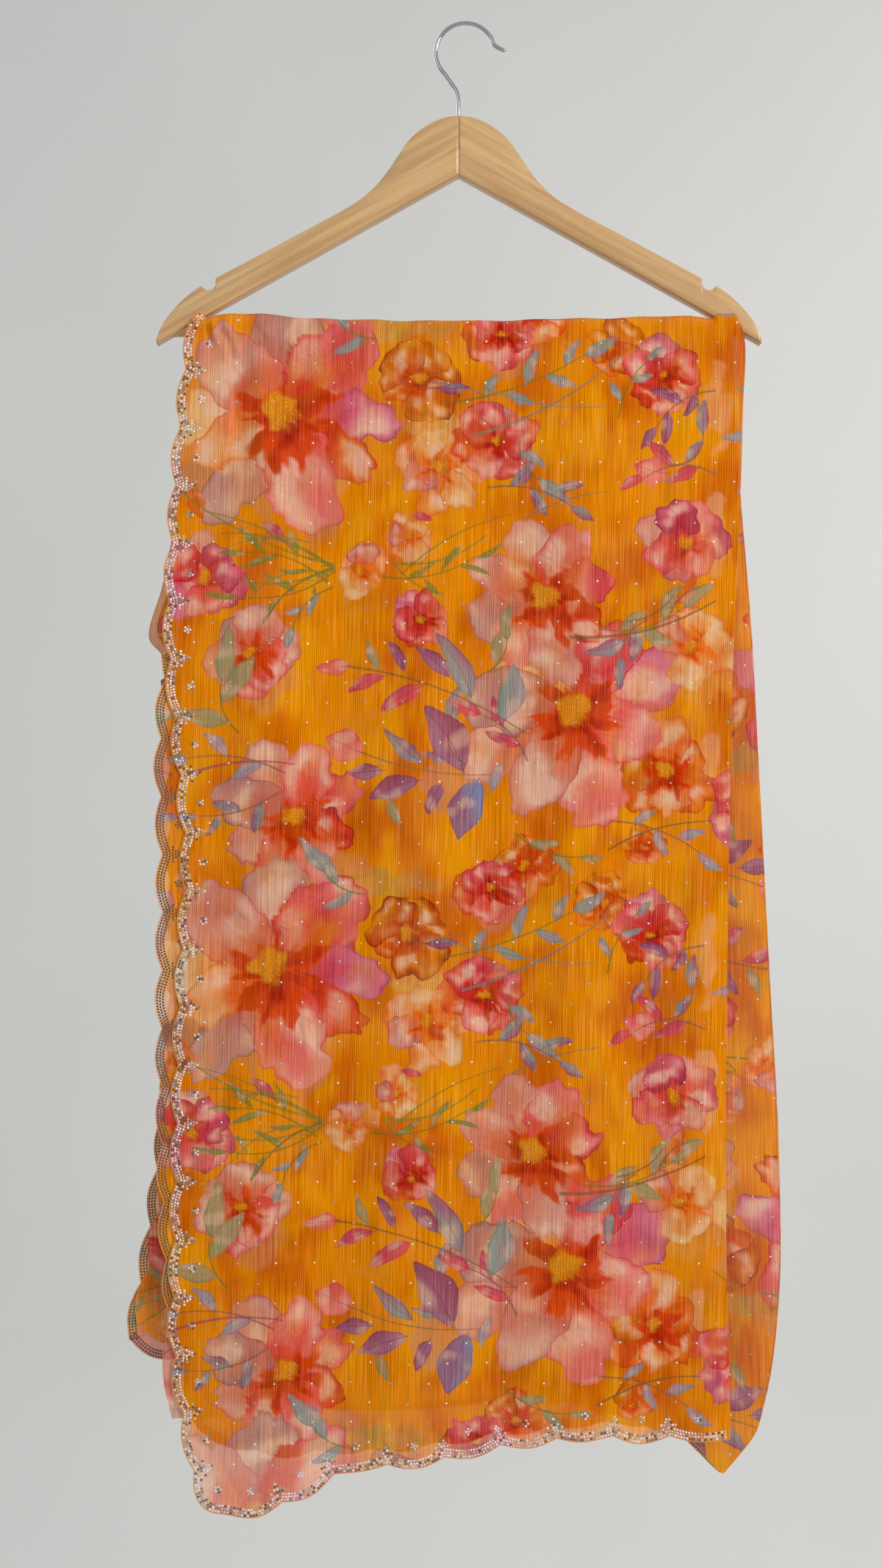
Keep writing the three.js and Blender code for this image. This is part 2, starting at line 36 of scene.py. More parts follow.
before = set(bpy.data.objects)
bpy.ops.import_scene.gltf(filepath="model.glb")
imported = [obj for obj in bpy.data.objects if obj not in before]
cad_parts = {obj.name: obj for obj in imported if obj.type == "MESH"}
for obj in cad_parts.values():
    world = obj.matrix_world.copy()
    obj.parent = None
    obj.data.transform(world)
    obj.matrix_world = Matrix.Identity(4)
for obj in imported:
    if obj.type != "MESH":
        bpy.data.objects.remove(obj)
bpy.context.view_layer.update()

# ---------------------------------------------------------------- sizes shared with the solids

SEAM_X = -5.0  # centre line of the hanger
BAR_Z = -224.7  # axis of the trouser bar
FLAP_TOP_Z = -214.2  # the corners of the cloth stand up in front of and behind the arms
FLAP_START = 184.0  # from the seam: here the cloth leaves the bar and stays in front of the arm
FLAP_END = 188.5
ARM_FACE_Y = 6.6  # where a standing corner leans on the arm
SADDLE_RISE = 7.0  # the bundle over the bar
OUTER_Y = 9.8  # middle of the outer layer, from the bar's axis
TURNED_Y = 8.3  # middle of the half that is turned back behind it
INNER_Y = 6.8  # middle of the inner passes
SCALLOP = 43.0  # length of one scallop along the edge
SCALLOP_DEPTH = 5.0
STEPS_PER_SCALLOP = 20
FALL_LENGTH = 704.0  # drop over which the soft folds are measured

# How high the bundle is heaped up along the bar: (x, lift).
SADDLE_LIFT = [
    (-191, 0.8), (-184, 4), (-172, 5.6), (-150, 5), (-120, 2.6), (-90, 1), (-40, 0.2),
    (10, 0), (65, 1.4), (110, 2.4), (146, 3.4), (166, 3.6), (176, 2.6), (181, 0.8),
]

# Soft vertical folds: middle, half width, depth along Y, drift of the middle over the drop, and the
# share of the drop at which the fold has opened.
FRONT_FOLDS = [
    (-152, 26, -3, 6, 0.1), (-98, 24, 2.6, 10, 0.35), (-38, 30, -3.2, -8, 0.5),
    (28, 27, 2.8, -6, 0.3), (88, 22, -3.6, -12, 0.12), (134, 21, 2.4, 4, 0.4),
]
BACK_FOLDS = [
    (-140, 30, 3, -10, 0.2), (-70, 25, -3, 8, 0.4), (0, 28, 3.2, 12, 0.3),
    (66, 24, -2.8, 6, 0.5), (128, 26, 3.4, 14, 0.15),
]

# Outlines (x, z) before the scallops: open edge from the top down, hem from left to right, and the
# folded edge from the top down.
FRONT_EDGE = [
    (-196, -213.5), (-200, -232), (-203.5, -250), (-207.5, -292), (-211.5, -337), (-213.5, -376),
    (-216.5, -430), (-213.5, -495), (-206.5, -565), (-203.8, -613), (-206.5, -678), (-209.5, -750),
    (-211, -843), (-212, -900), (-213, -950), (-209, -999), (-202.5, -1036), (-197.5, -1062),
    (-188.5, -1082), (-174, -1090.5),
]
FRONT_HEM = [
    (-174, -1090.5), (-150, -1086), (-120, -1075), (-82, -1056), (-40, -1052), (0, -1046),
    (43, -1038), (86, -1032), (130, -1035), (172, -1033), (190, -1036),
]
FRONT_FOLD = [
    (197, -213.5), (203.5, -232), (202.5, -283), (201, -334), (198, -396), (195.7, -457),
    (193, -570), (191.4, -674), (190, -800), (190.4, -895), (192.2, -970), (193.2, -1036),
]
TURNED_EDGE = [
    (-197, -230), (-204, -252), (-208, -280), (-209, -300), (-210, -340), (-212.5, -400),
    (-217, -460), (-221.5, -500), (-223, -545), (-222, -586), (-221.5, -625), (-222, -720),
    (-221.5, -800), (-219, -900), (-215, -940), (-208, -975), (-201, -1008), (-194, -1030),
]
TURNED_HEM = [
    (-194, -1030), (-150, -1043), (-90, -1043), (-40, -1039), (20, -1032), (86, -1022),
    (130, -1023), (190, -1030),
]
BACK_EDGE = [
    (-196, -213.5), (-205, -290), (-213, -350), (-224, -410), (-234, -450), (-224.6, -463),
    (-219, -500), (-218, -560), (-218, -700), (-222, -790), (-229, -850), (-236, -903),
    (-243, -940), (-249, -969),
]
BACK_HEM = [
    (-249, -969), (-226, -979), (-120, -988), (0, -1000), (90, -1016), (150, -1036),
    (176.8, -1050), (189, -1068),
]
BACK_FOLD = [
    (196, -213.5), (200, -290), (204.5, -354), (212, -445), (216, -520), (221.5, -628),
    (226, -714), (231, -800), (233.3, -880), (233.1, -920), (231.5, -948), (226.5, -992),
    (220.5, -1020), (215, -1038), (201, -1057), (191.5, -1068),
]
BACK_TURNED_EDGE = [
    (-197, -230), (-205, -300), (-211, -350), (-219, -410), (-228, -445), (-219, -463),
    (-214, -500), (-214, -600), (-214, -760), (-219, -830), (-229, -890), (-238, -935),
    (-243, -958),
]
BACK_TURNED_HEM = [
    (-243, -958), (-210, -970), (-120, -980), (0, -994), (90, -1011), (150, -1031),
    (176.8, -1046), (188, -1066),
]
PLAIN_ABOVE = -480.0  # over this height the rear edge is the plain one of an inner pass
TURNED_PLAIN_ABOVE = -462.0
FRONT_INNER_EDGE = [
    (-190, -224), (-199, -500), (-203, -880), (-212, -930), (-222, -984), (-215, -1022),
]
BACK_INNER_EDGE = [(-190, -224), (-197, -600), (-204, -950)]
INNER_RIGHT_X = 179.0
INNER_FRONT_END_Z, INNER_BACK_END_Z = -1005.0, -961.0  # where their right edges end

# The outer half and the turned half of a stretch: open edge, hem, and where its scallops start.
FRONT_HALVES = ((FRONT_EDGE, FRONT_HEM, 0.0), (TURNED_EDGE, TURNED_HEM, TURNED_PLAIN_ABOVE))
BACK_HALVES = (
    (BACK_EDGE, BACK_HEM, PLAIN_ABOVE), (BACK_TURNED_EDGE, BACK_TURNED_HEM, PLAIN_ABOVE)
)

# ---------------------------------------------------------------- small tools


def smooth_step(low, high, value):
    share = np.clip((value - low) / (high - low), 0.0, 1.0)
    return share * share * (3 - 2 * share)


def mixed(a, b, share):
    return a + (b - a) * share


def linear(hex_colour):
    """The linear RGB of an sRGB hex colour."""
    srgb = [int(hex_colour[i : i + 2], 16) / 255 for i in (1, 3, 5)]
    return np.array([c / 12.92 if c <= 0.04045 else ((c + 0.055) / 1.055) ** 2.4 for c in srgb])


def rgba(hex_colour):
    return (*linear(hex_colour), 1.0)


def evenly(line, count):
    """This many points at equal steps along a line of points."""
    line = np.asarray(line, float)
    run = np.concatenate([[0], np.cumsum(np.linalg.norm(np.diff(line, axis=0), axis=1))])
    at = np.linspace(0, run[-1], count)
    return np.stack([np.interp(at, run, line[:, i]) for i in range(line.shape[1])], axis=1)


def line_length(line):
    return float(np.linalg.norm(np.diff(line, axis=0), axis=1).sum())


def flowing(points, steps=16):
    """A smooth curve through the points: the centripetal spline that the solids use too."""
    p = np.asarray(points, float)
    p = np.vstack([2 * p[0] - p[1], p, 2 * p[-1] - p[-2]])
    parts = []
    for a, b, c, d in zip(p, p[1:], p[2:], p[3:]):
        t1 = math.dist(a, b) ** 0.5
        t2 = t1 + math.dist(b, c) ** 0.5
        t3 = t2 + math.dist(c, d) ** 0.5
        t = np.linspace(t1, t2, steps, endpoint=False)[:, None]
        ab = a + (b - a) * t / t1
        bc = b + (c - b) * (t - t1) / (t2 - t1)
        cd = c + (d - c) * (t - t2) / (t3 - t2)
        abc = ab + (bc - ab) * t / t2
        bcd = bc + (cd - bc) * (t - t1) / (t3 - t1)
        parts.append(abc + (bcd - abc) * (t - t1) / (t2 - t1))
    return np.vstack([*parts, p[-2]])


def scalloped(points, plain_above=0.0):
    """The outline with a bulge between each pair of cusps, as points and the side that is outward."""
    line = flowing(points)
    scallops = round(line_length(line) / SCALLOP)
    line = evenly(line, scallops * STEPS_PER_SCALLOP + 1)
    along = np.gradient(line, axis=0)
    along /= np.linalg.norm(along, axis=1)[:, None]
    out = np.stack([along[:, 1], -along[:, 0]], axis=1)
    share = (np.arange(len(line)) % STEPS_PER_SCALLOP) / STEPS_PER_SCALLOP
    bulge = SCALLOP_DEPTH * np.sin(np.pi * share) * (line[:, 1] <= plain_above)
    return line + out * bulge[:, None], out


def mesh_piece(name, points_mm, faces, material, smooth=True):
    """A mesh object from points in millimetres."""
    mesh = bpy.data.meshes.new(name)
    mesh.from_pydata((np.asarray(points_mm, float) * MM).tolist(), [], faces)
    mesh.polygons.foreach_set("use_smooth", [smooth] * len(mesh.polygons))
    mesh.materials.append(material)
    mesh.update()
    piece = bpy.data.objects.new(name, mesh)
    bpy.context.scene.collection.objects.link(piece)
    return piece


def grid_faces(rows, columns):
    """Quads between the points of a grid, row by row."""
    at = np.arange(rows * columns).reshape(rows, columns)
    corners = [at[:-1, :-1], at[1:, :-1], at[1:, 1:], at[:-1, 1:]]
    return np.stack([c.ravel() for c in corners], axis=1).tolist()


def keep_values(mesh, name, kind, values):
    """Stores one value for each vertex, which a finish reads by this name."""
    field = {"FLOAT_COLOR": "color", "FLOAT_VECTOR": "vector", "FLOAT": "value"}[kind]
    if kind == "FLOAT_COLOR" and values.shape[1] == 3:
        values = np.hstack([values, np.ones((len(values), 1))])
    attribute = mesh.attributes.new(name, kind, "POINT")
    attribute.data.foreach_set(field, values.astype(np.float32).ravel())


# ---------------------------------------------------------------- camera

CAMERA_X, CAMERA_Z, CAMERA_AWAY = -18.07, -557.8, 1300.0
CAMERA_LENS = 40.6  # on a 36 mm long side


def place_camera():
    data = bpy.data.cameras.new("camera")
    data.sensor_width = 36
    data.lens = CAMERA_LENS
    camera = bpy.data.objects.new("camera", data)
    camera.location = (CAMERA_X * MM, -CAMERA_AWAY * MM, CAMERA_Z * MM)
    camera.rotation_euler = (math.pi / 2, 0, 0)
    bpy.context.scene.collection.objects.link(camera)
    bpy.context.scene.camera = camera


place_camera()

# ---------------------------------------------------------------- the printed flowers
# The print is painted at the vertices of each sheet, in millimetres of flat cloth: across from the
# stone border, and down from the bar. Each layer of paint has a colour and a depth: how far a point
# lies outside its shape, and below zero inside it. The finish cuts the shape's edge from that depth,
# so that it stays crisp between the vertices.

REPEAT = 405.0  # the print repeats after this length, down the cloth and across it
HALF_DROP = 168.0  # each repeat across starts this much lower
PRINT_SLANT = 0.02  # the cloth hangs a little off its straight grain

# Petal paints: near the heart, out in the petal, and where the pigment pools at its rim.
PETAL_PAINTS = {
    "shell": ("#E06A4C", "#E0A29A", "#D07A74"),
    "mauve": ("#C8685C", "#C89690", "#B07C80"),
    "blush": ("#E64A3C", "#F09A94", "#E2666C"),
    "rose": ("#D02020", "#EC6C78", "#CC3044"),
    "coral": ("#C41404", "#E84632", "#B81A14"),
    "orchid": ("#D42E54", "#E27A9E", "#B84A7E"),
    "cream": ("#EE9040", "#F2C68C", "#E49A5C"),
    "peach": ("#EC641E", "#F6AC74", "#EA7A38"),
    "poppy": ("#CC2806", "#F07420", "#CC340C"),
    "outlined": ("#CC5006", "#E68E12", "#A81E04"),
    "magenta": ("#B81C44", "#E8668A", "#B43464"),
}
# Families of flowers: paints of the petals in turn, deep and glowing heart, the two tones of the
# stippled eye, and heart and eye as a share of the flower.
FAMILIES = {
    "blush": (["shell", "blush", "rose", "shell", "mauve"], "#AC1404", "#E0460A", 0.55, 0.15),
    "rose": (["rose", "blush", "coral", "rose", "orchid"], "#940806", "#D42014", 0.52, 0.1),
    "poppy": (["poppy", "peach", "poppy", "outlined"], "#A81002", "#E03404", 0.56, 0.14),
    "outlined": (["outlined", "outlined", "poppy"], "#84260A", "#CE480C", 0.42, 0.15),
    "peach": (["peach", "cream", "peach", "shell"], "#D43C06", "#F47A1A", 0.46, 0.15),
    "pink": (["magenta", "blush", "orchid", "rose", "shell"], "#A8142E", "#E4443A", 0.38, 0.16),
}
EYE_TONES = ("#E08A14", "#C65C08")

# The small flowers of one repeat: across, down, radius, petals, turn in degrees and family.
SMALL_FLOWERS = [
    (178, 165, 18, 6, 10, "peach"),
    (145, 188, 20, 5, 60, "peach"),
    (243, 17, 27, 6, 40, "rose"),
    (200, 114, 34, 7, 0, "peach"),
    (386, 244, 34, 6, 20, "peach"),
    (66, 248, 36, 6, -20, "blush"),
    (183, 48, 32, 5, 5, "outlined"),
    (240, 94, 31, 6, 50, "rose"),
    (29, 193, 33, 6, 25, "pink"),
    (189, 225, 23, 6, -10, "rose"),
    (369, 335, 37, 7, 30, "poppy"),
    (355, 391, 16, 5, 0, "poppy"),
    (326, 25, 23, 5, -25, "outlined"),
    (363, 48, 28, 6, 15, "rose"),
    (380, 168, 33, 7, -5, "pink"),
    (268, 404, 24, 5, 12, "poppy"),
]
# The large blossoms: middle, radius of the eye, reach of the heart, and each petal as turn in
# degrees, reach, half width and paint.
BLOSSOMS = [
    ((84, 72), 14, 40, [
        (-86, 78, 29, "mauve"), (-138, 78, 27, "shell"), (174, 76, 28, "cream"),
        (122, 96, 22, "mauve"), (-42, 86, 29, "rose"), (150, 70, 20, "peach"),
        (6, 86, 18, "orchid"), (90, 66, 18, "shell"), (36, 84, 17, "coral"), (72, 94, 27, "blush"),
    ]),
    ((303, 291), 12, 36, [
        (-98, 66, 30, "shell"), (-60, 74, 22, "rose"), (-22, 84, 24, "orchid"), (22, 66, 22, "blush"),
        (152, 92, 24, "shell"), (188, 82, 24, "mauve"), (222, 74, 22, "cream"), (118, 84, 22, "shell"),
        (78, 88, 25, "blush"),
    ]),
    ((278, 208), 10, 30, [
        (-108, 58, 19, "shell"), (-62, 56, 20, "blush"), (160, 58, 19, "mauve"), (-14, 50, 18, "rose"),
        (205, 56, 17, "shell"), (36, 50, 16, "coral"), (118, 60, 17, "blush"), (76, 66, 18, "shell"),
    ]),
    ((100, 368), 8, 26, [
        (-122, 62, 20, "shell"), (-74, 54, 19, "blush"), (-28, 52, 17, "rose"), (196, 62, 19, "mauve"),
        (150, 56, 17, "shell"), (26, 46, 15, "coral"), (104, 54, 20, "rose"), (64, 52, 15, "blush"),
    ]),
]

# Pale pools of thin paint under the flowers, and a painted highlight beside the front's folded edge:
# middle, half sizes and colour.
POOLS_AND_FOLD_HIGHLIGHT = [
    ((112, 132), (18, 46), "#C4846A"), ((36, 84), (28, 46), "#E09C60"), ((64, 128), (22, 24), "#BE7C62"),
    ((300, 336), (54, 26), "#D89470"), ((350, 322), (24, 30), "#E09C4C"), ((196, 86), (24, 16), "#E8BC74"),
    ((108, 404), (42, 22), "#D0866C"), ((210, 346), (26, 20), "#C88C80"), ((252, 222), (18, 32), "#CC8A6C"),
    ((388, 262), (24, 26), "#E8A450"), ((248, 30), (28, 16), "#D08670"), ((74, 268), (22, 26), "#D68660"),
    # These three narrow pale pools run beside the front's folded edge: a painted highlight for the lighter
    # band of its rounded fold.
    ((403, 66), (9, 34), "#F0B48C"), ((404, 158), (8, 36), "#F2B890"), ((401, 330), (8, 26), "#EEB090"),
    ((150, 14), (32, 12), "#8C9858"), ((190, 12), (22, 10), "#A88C4C"), ((26, 122), (14, 24), "#A98880"),
]

LEAF_COLOURS = {
    "slate": ("#86A0A4", "#9A5E86"),
    "violet": ("#A06E9A", "#8C386C"),
    "lilac": ("#B494AC", "#8C9CAC"),
    "crimson": ("#E2485C", "#BE386E"),
    "coral": ("#F07468", "#DC4864"),
    "olive": ("#8E9034", "#849662"),
    "teal": ("#7C9E98", "#A096A4"),
    "grey": ("#94986C", "#B09C74"),
    "rust": ("#EA7A20", "#D24C18"),
    "blue": ("#6E88BC", "#8C5A8C"),
    "bud": ("#F48E88", "#E0545E"),
}
# Sprays of leaves: stem from (across, down) to (across, down), its bow, leaves, their length, family.
SPRAYS = [
    ((222, 330), (212, 300), -6, 2, 30, "slate"),
    ((268, 326), (234, 294), 5, 3, 30, "crimson"),
    ((56, 306), (44, 270), -5, 3, 40, "grey"),
    ((90, 336), (22, 326), 6, 3, 24, "lilac"),
    ((86, 352), (30, 368), -5, 4, 24, "slate"),
    ((118, 196), (62, 176), 6, 5, 30, "olive"),
    ((124, 190), (56, 208), -8, 5, 26, "olive"),
    ((122, 202), (96, 230), 5, 3, 18, "teal"),
    ((162, 194), (226, 180), 6, 5, 26, "olive"),
    ((92, 172), (74, 166), 3, 1, 22, "crimson"),
    ((212, 66), (304, 32), 5, 6, 24, "teal"),
    ((192, 56), (214, 50), 2, 1, 28, "violet"),
    ((238, 128), (296, 142), -6, 4, 24, "slate"),
    ((258, 96), (272, 122), 4, 2, 28, "teal"),
    ((320, 232), (380, 216), 7, 4, 30, "grey"),
    ((352, 226), (336, 252), 5, 3, 32, "slate"),
    ((372, 218), (390, 202), -3, 1, 30, "rust"),
    ((398, 58), (358, 84), 6, 4, 24, "violet"),
    ((400, 118), (352, 120), 7, 3, 30, "crimson"),
    ((372, 112), (392, 90), 7, 2, 26, "slate"),
    ((330, 76), (350, 36), -4, 3, 20, "teal"),
    ((332, 372), (394, 394), -5, 4, 22, "lilac"),
    ((150, 20), (122, 4), -4, 3, 30, "teal"),
    ((262, 382), (308, 398), 5, 3, 22, "grey"),
    ((240, 262), (252, 240), 3, 2, 30, "grey"),
]
# Single leaves and buds: from (across, down), to (across, down), half width as a share, family.
LEAVES = [
    ((227, 282), (199, 234), 0.14, "slate"), ((211, 267), (184, 244), 0.15, "violet"),
    ((178, 262), (165, 240), 0.17, "violet"), ((160, 262), (150, 238), 0.14, "grey"),
    ((137, 258), (112, 260), 0.24, "coral"), ((163, 266), (135, 279), 0.17, "crimson"),
    ((190, 274), (160, 292), 0.19, "crimson"), ((222, 335), (192, 287), 0.25, "violet"),
    ((249, 299), (257, 256), 0.2, "teal"), ((148, 322), (121, 310), 0.42, "bud"),
    ((193, 330), (163, 304), 0.15, "slate"), ((163, 335), (136, 337), 0.2, "violet"),
    ((189, 342), (152, 356), 0.2, "violet"), ((206, 345), (196, 368), 0.22, "violet"),
    ((233, 342), (219, 386), 0.27, "blue"), ((250, 330), (243, 352), 0.2, "lilac"),
    ((366, 118), (342, 112), 0.42, "bud"), ((176, 374), (168, 354), 0.2, "grey"),
    ((20, 128), (28, 152), 0.24, "rust"), ((196, 152), (180, 148), 0.2, "crimson"),
]
STEM_HALF = 0.6  # half width of a painted stem

# Bare strokes of the brush: from, to, bow, half width and colour.
STROKES = [
    ((122, 184), (8, 128), -8, 0.8, "#84822A"), ((122, 185), (30, 146), 5, 0.7, "#7E8638"),
    ((122, 186), (44, 162), 7, 0.9, "#7C8234"), ((122, 187), (52, 196), -7, 0.7, "#74824A"),
    ((122, 188), (78, 222), 6, 0.8, "#7A6A2C"), ((116, 190), (60, 214), 9, 0.6, "#8C8438"),
    ((104, 168), (48, 172), 5, 0.5, "#6E8254"), ((172, 184), (234, 164), 7, 0.8, "#7E8638"),
    ((176, 190), (252, 148), -6, 0.6, "#84822A"), ((170, 186), (204, 206), 4, 0.5, "#7A7A34"),
    ((20, 338), (96, 330), -5, 0.9, "#B0405A"), ((300, 238), (402, 212), 8, 1.0, "#805A30"),
    ((342, 226), (372, 208), 4, 0.7, "#84603A"), ((226, 90), (330, 34), 7, 0.8, "#6C8078"),
    ((232, 56), (318, 70), 5, 0.7, "#788A80"), ((264, 150), (322, 132), -3, 0.5, "#747C60"),
    ((137, 259), (266, 307), -8, 0.7, "#84623A"), ((148, 322), (240, 338), 5, 0.5, "#8A7040"),
    ((330, 392), (402, 372), -5, 0.7, "#7A5A34"), ((196, 52), (250, 76), -6, 0.6, "#6E7E74"),
]
LINE_SETS = ("stems_first", "stems_second", "stems_third")  # strokes that cross go in other sets
# The layers of paint from the lowest up: how soft the edge is in mm, how far it strays, how well
# the paint covers and how dark it pools at the rim.
PAINTS = {
    "pools": (4.0, 1.6, 0.42, 0.0),
    "petals_under": (0.45, 0.6, 0.9, 0.5),
    "petals_over": (0.4, 0.6, 0.94, 0.55),
    "hearts": (3.4, 1.6, 0.97, 0.0),
    "leaves": (0.6, 0.6, 0.88, 0.35),
}
PRINT_MARGIN = 100  # a repeat that starts this far outside a sheet may still reach it
FAR = 30.0  # a depth or a distance that lies outside everything painted


def wash(across, down, size, seed):
    """A slow variation from about -1 to 1, as wet paint leaves it, with patches of this size."""
    draw = np.random.default_rng(seed)
    total = np.zeros_like(across)
    for _ in range(5):
        turn, phase = draw.uniform(0, 2 * np.pi, 2)
        pace = 2 * np.pi / (size * draw.uniform(0.7, 1.7))
        total += np.sin((across * np.cos(turn) + down * np.sin(turn)) * pace + phase)
    return np.clip(total / 2.4, -1, 1)


def lay_paint(layer, near, depth, colour):
    """Paints a shape over a layer at the points near it, and keeps the closer edge around it."""
    old = layer["depth"][near]
    over = (depth < 0) | (depth < old)
    chosen = near[over]
    layer["colour"][chosen] = colour[over]
    layer["depth"][chosen] = np.where(depth < 0, depth, np.minimum(old, depth))[over]


def lay_line(line_sets, across, down, route, half, colour):
    """A thin stroke that tapers along a route. Its signed side lets its middle be found between the
    vertices, and the plain distance tells a stroke from a jump between two strokes."""
    low = route.min(0) - 6
    high = route.max(0) + 6
    near = np.nonzero(
        (across > low[0]) & (across < high[0]) & (down > low[1]) & (down < high[1])
    )[0]
    if not len(near):
        return
    p = np.stack([across[near], down[near]], axis=1)
    away, side, width = np.full((3, len(near)), 99.0)
    for k, (a, b) in enumerate(zip(route, route[1:])):
        along = (b - a) / math.dist(a, b)
        share = np.clip((p - a) @ along, 0, math.dist(a, b))
        apart = p - a - share[:, None] * along
        reach = np.linalg.norm(apart, axis=1)
        signed = (p - a) @ np.array([-along[1], along[0]])
        closer = reach < away
        away[closer] = reach[closer]
        side[closer] = signed[closer]
        width[closer] = half * (1.2 - 0.7 * k / len(route))
    crowded = [np.count_nonzero((s["away"][near] < 5) & (away < 4)) for s in line_sets.values()]
    lines = list(line_sets.values())[int(np.argmin(crowded))]
    better = away < lines["away"][near]
    chosen = near[better]
    lines["away"][chosen] = away[better]
    lines["side"][chosen] = side[better]
    lines["half"][chosen] = width[better]
    lines["colour"][chosen] = colour


def bowed(start, end, bow, steps=10):
    """A route from start to end that bows sideways by this much."""
    start, end = np.array(start, float), np.array(end, float)
    share = np.linspace(0, 1, steps)[:, None]
    run = end - start
    sideways = np.array([-run[1], run[0]]) / np.linalg.norm(run)
    return start + run * share + sideways * bow * 4 * share * (1 - share)


def warped(across, down):
    """Flat places moved a little, so that nothing painted there keeps a drawn outline."""
    shifted = []
    for k, base in enumerate((across, down)):
        shifted.append(
            base + 2.2 * wash(across, down, 26, 71 + k) + 0.9 * wash(across, down, 9, 75 + k)
        )
    return shifted


def paint_petal(layers, across, down, near, centre, petal, layer, seed):
    """One petal with a wandering, notched edge: thin and pale in places, pooled at its rim."""
    turn, length, half, paint = petal
    axis = math.radians(turn)
    draw = np.random.default_rng(seed)
    u, v = across[near], down[near]
    du, dv = u - centre[0], v - centre[1]
    along = du * np.cos(axis) + dv * np.sin(axis)
    aside = -du * np.sin(axis) + dv * np.cos(axis)
    middle, deep = 0.57 * length, 0.45 * length
    away = np.hypot((along - middle) / deep, aside / half)
    angle = np.arctan2(aside / half, (along - middle) / deep)
    lobe = 1 + 0.06 * np.sin(3 * angle + draw.uniform(0, 6))
    for spot in draw.uniform(-1.3, 1.3, 2):
        lobe -= draw.uniform(0.06, 0.16) * np.exp(-(((angle - spot) / 0.14) ** 2))
    lobe += 0.035 * np.sin(8 * angle + draw.uniform(0, 6))
    depth = np.hypot(along - middle, aside) * (1 - lobe / np.maximum(away, 0.05))
    blot = wash(u, v, length * 0.5, seed)
    streak = wash(aside, along * 0.12, 3.4, seed + 1)
    share = smooth_step(0.2, 0.8, along / length + 0.2 * blot + 0.1 * streak)
    base, body, rim = (linear(c) for c in PETAL_PAINTS[paint])
    colour = mixed(base, body, share[:, None])
    pale = 0.75 * smooth_step(0.0, 0.8, blot) * share * (1 - smooth_step(-8, -1, depth))
    colour = mixed(colour, linear("#F4CEBA"), pale[:, None])
    deeper = 0.8 * smooth_step(0.1, 0.9, -blot) * share
    colour = mixed(colour, rim, deeper[:, None])
    pooled = 0.9 * smooth_step(-5.5, -0.5, depth) * smooth_step(-0.5, 0.5, wash(u, v, 40, seed + 2))
    colour = mixed(colour, rim, pooled[:, None])
    veins = smooth_step(0.15, 0.8, streak) * (1 - smooth_step(0.3, 0.95, along / length))
    colour = mixed(colour, base, 0.5 * veins[:, None])
    lay_paint(layers[layer], near, depth, colour)


def paint_heart(layers, across, down, near, centre, petals, heart, eye, tones, seed):
    """The dark heart that bleeds into the petals, and the stippled eye on it."""
    u, v = across[near] - centre[0], down[near] - centre[1]
    from_eye = np.hypot(u, v)
    u, v = u - 0.08 * heart, v - 0.16 * heart  # wet paint runs down from the eye
    away, angle = np.hypot(u, v), np.arctan2(v, u)
    rays = np.zeros_like(away)
    draw = np.random.default_rng(seed)
    for turn, *_ in petals:
        apart = np.angle(np.exp(1j * (angle - math.radians(turn) - draw.normal(0, 0.15))))
        rays = np.maximum(rays, draw.uniform(0.25, 1.0) * np.exp(-((apart / 0.26) ** 2)))
    reach = 0.46 + 0.66 * rays + 0.1 * np.sin(11 * angle + seed) + 0.08 * np.sin(23 * angle + seed)
    depth = away - heart * reach
    share = smooth_step(0.1, 1.0, away / (heart * reach) + 0.3 * wash(u, v, heart * 0.6, seed))
    colour = mixed(linear(tones[0]), linear(tones[1]), share[:, None])
    brown = 0.4 * smooth_step(0.1, 0.8, wash(u, v, heart * 1.2, seed + 1))
    colour = mixed(colour, linear("#B85408"), brown[:, None])
    low_side = smooth_step(-0.6, 0.9, (u + v) / eye)
    stipple = mixed(linear(EYE_TONES[0]), linear(EYE_TONES[1]), low_side[:, None])
    in_eye = 1 - smooth_step(0.8, 1.1, from_eye / eye + 0.12 * np.sin(7 * angle + seed))
    colour = mixed(colour, stipple, in_eye[:, None])
    colour = np.hstack([colour, in_eye[:, None]])
    lay_paint(layers["hearts"], near, np.minimum(depth, from_eye - eye * 1.05), colour)


def paint_flower(layers, across, down, centre, eye, heart, petals, tones, seed):
    """A flower of overlapping petals, every second one on the upper layer, with heart and eye."""
    radius = max(p[1] for p in petals)
    away = np.hypot(across - centre[0], down - centre[1])
    near = np.nonzero(away < 1.15 * radius)[0]
    if not len(near):
        return
    for k, petal in enumerate(petals):
        layer = "petals_over" if k % 2 else "petals_under"
        paint_petal(layers, across, down, near, centre, petal, layer, seed + 17 * k)
    paint_heart(layers, across, down, near, centre, petals, heart, eye, tones, seed + 7)


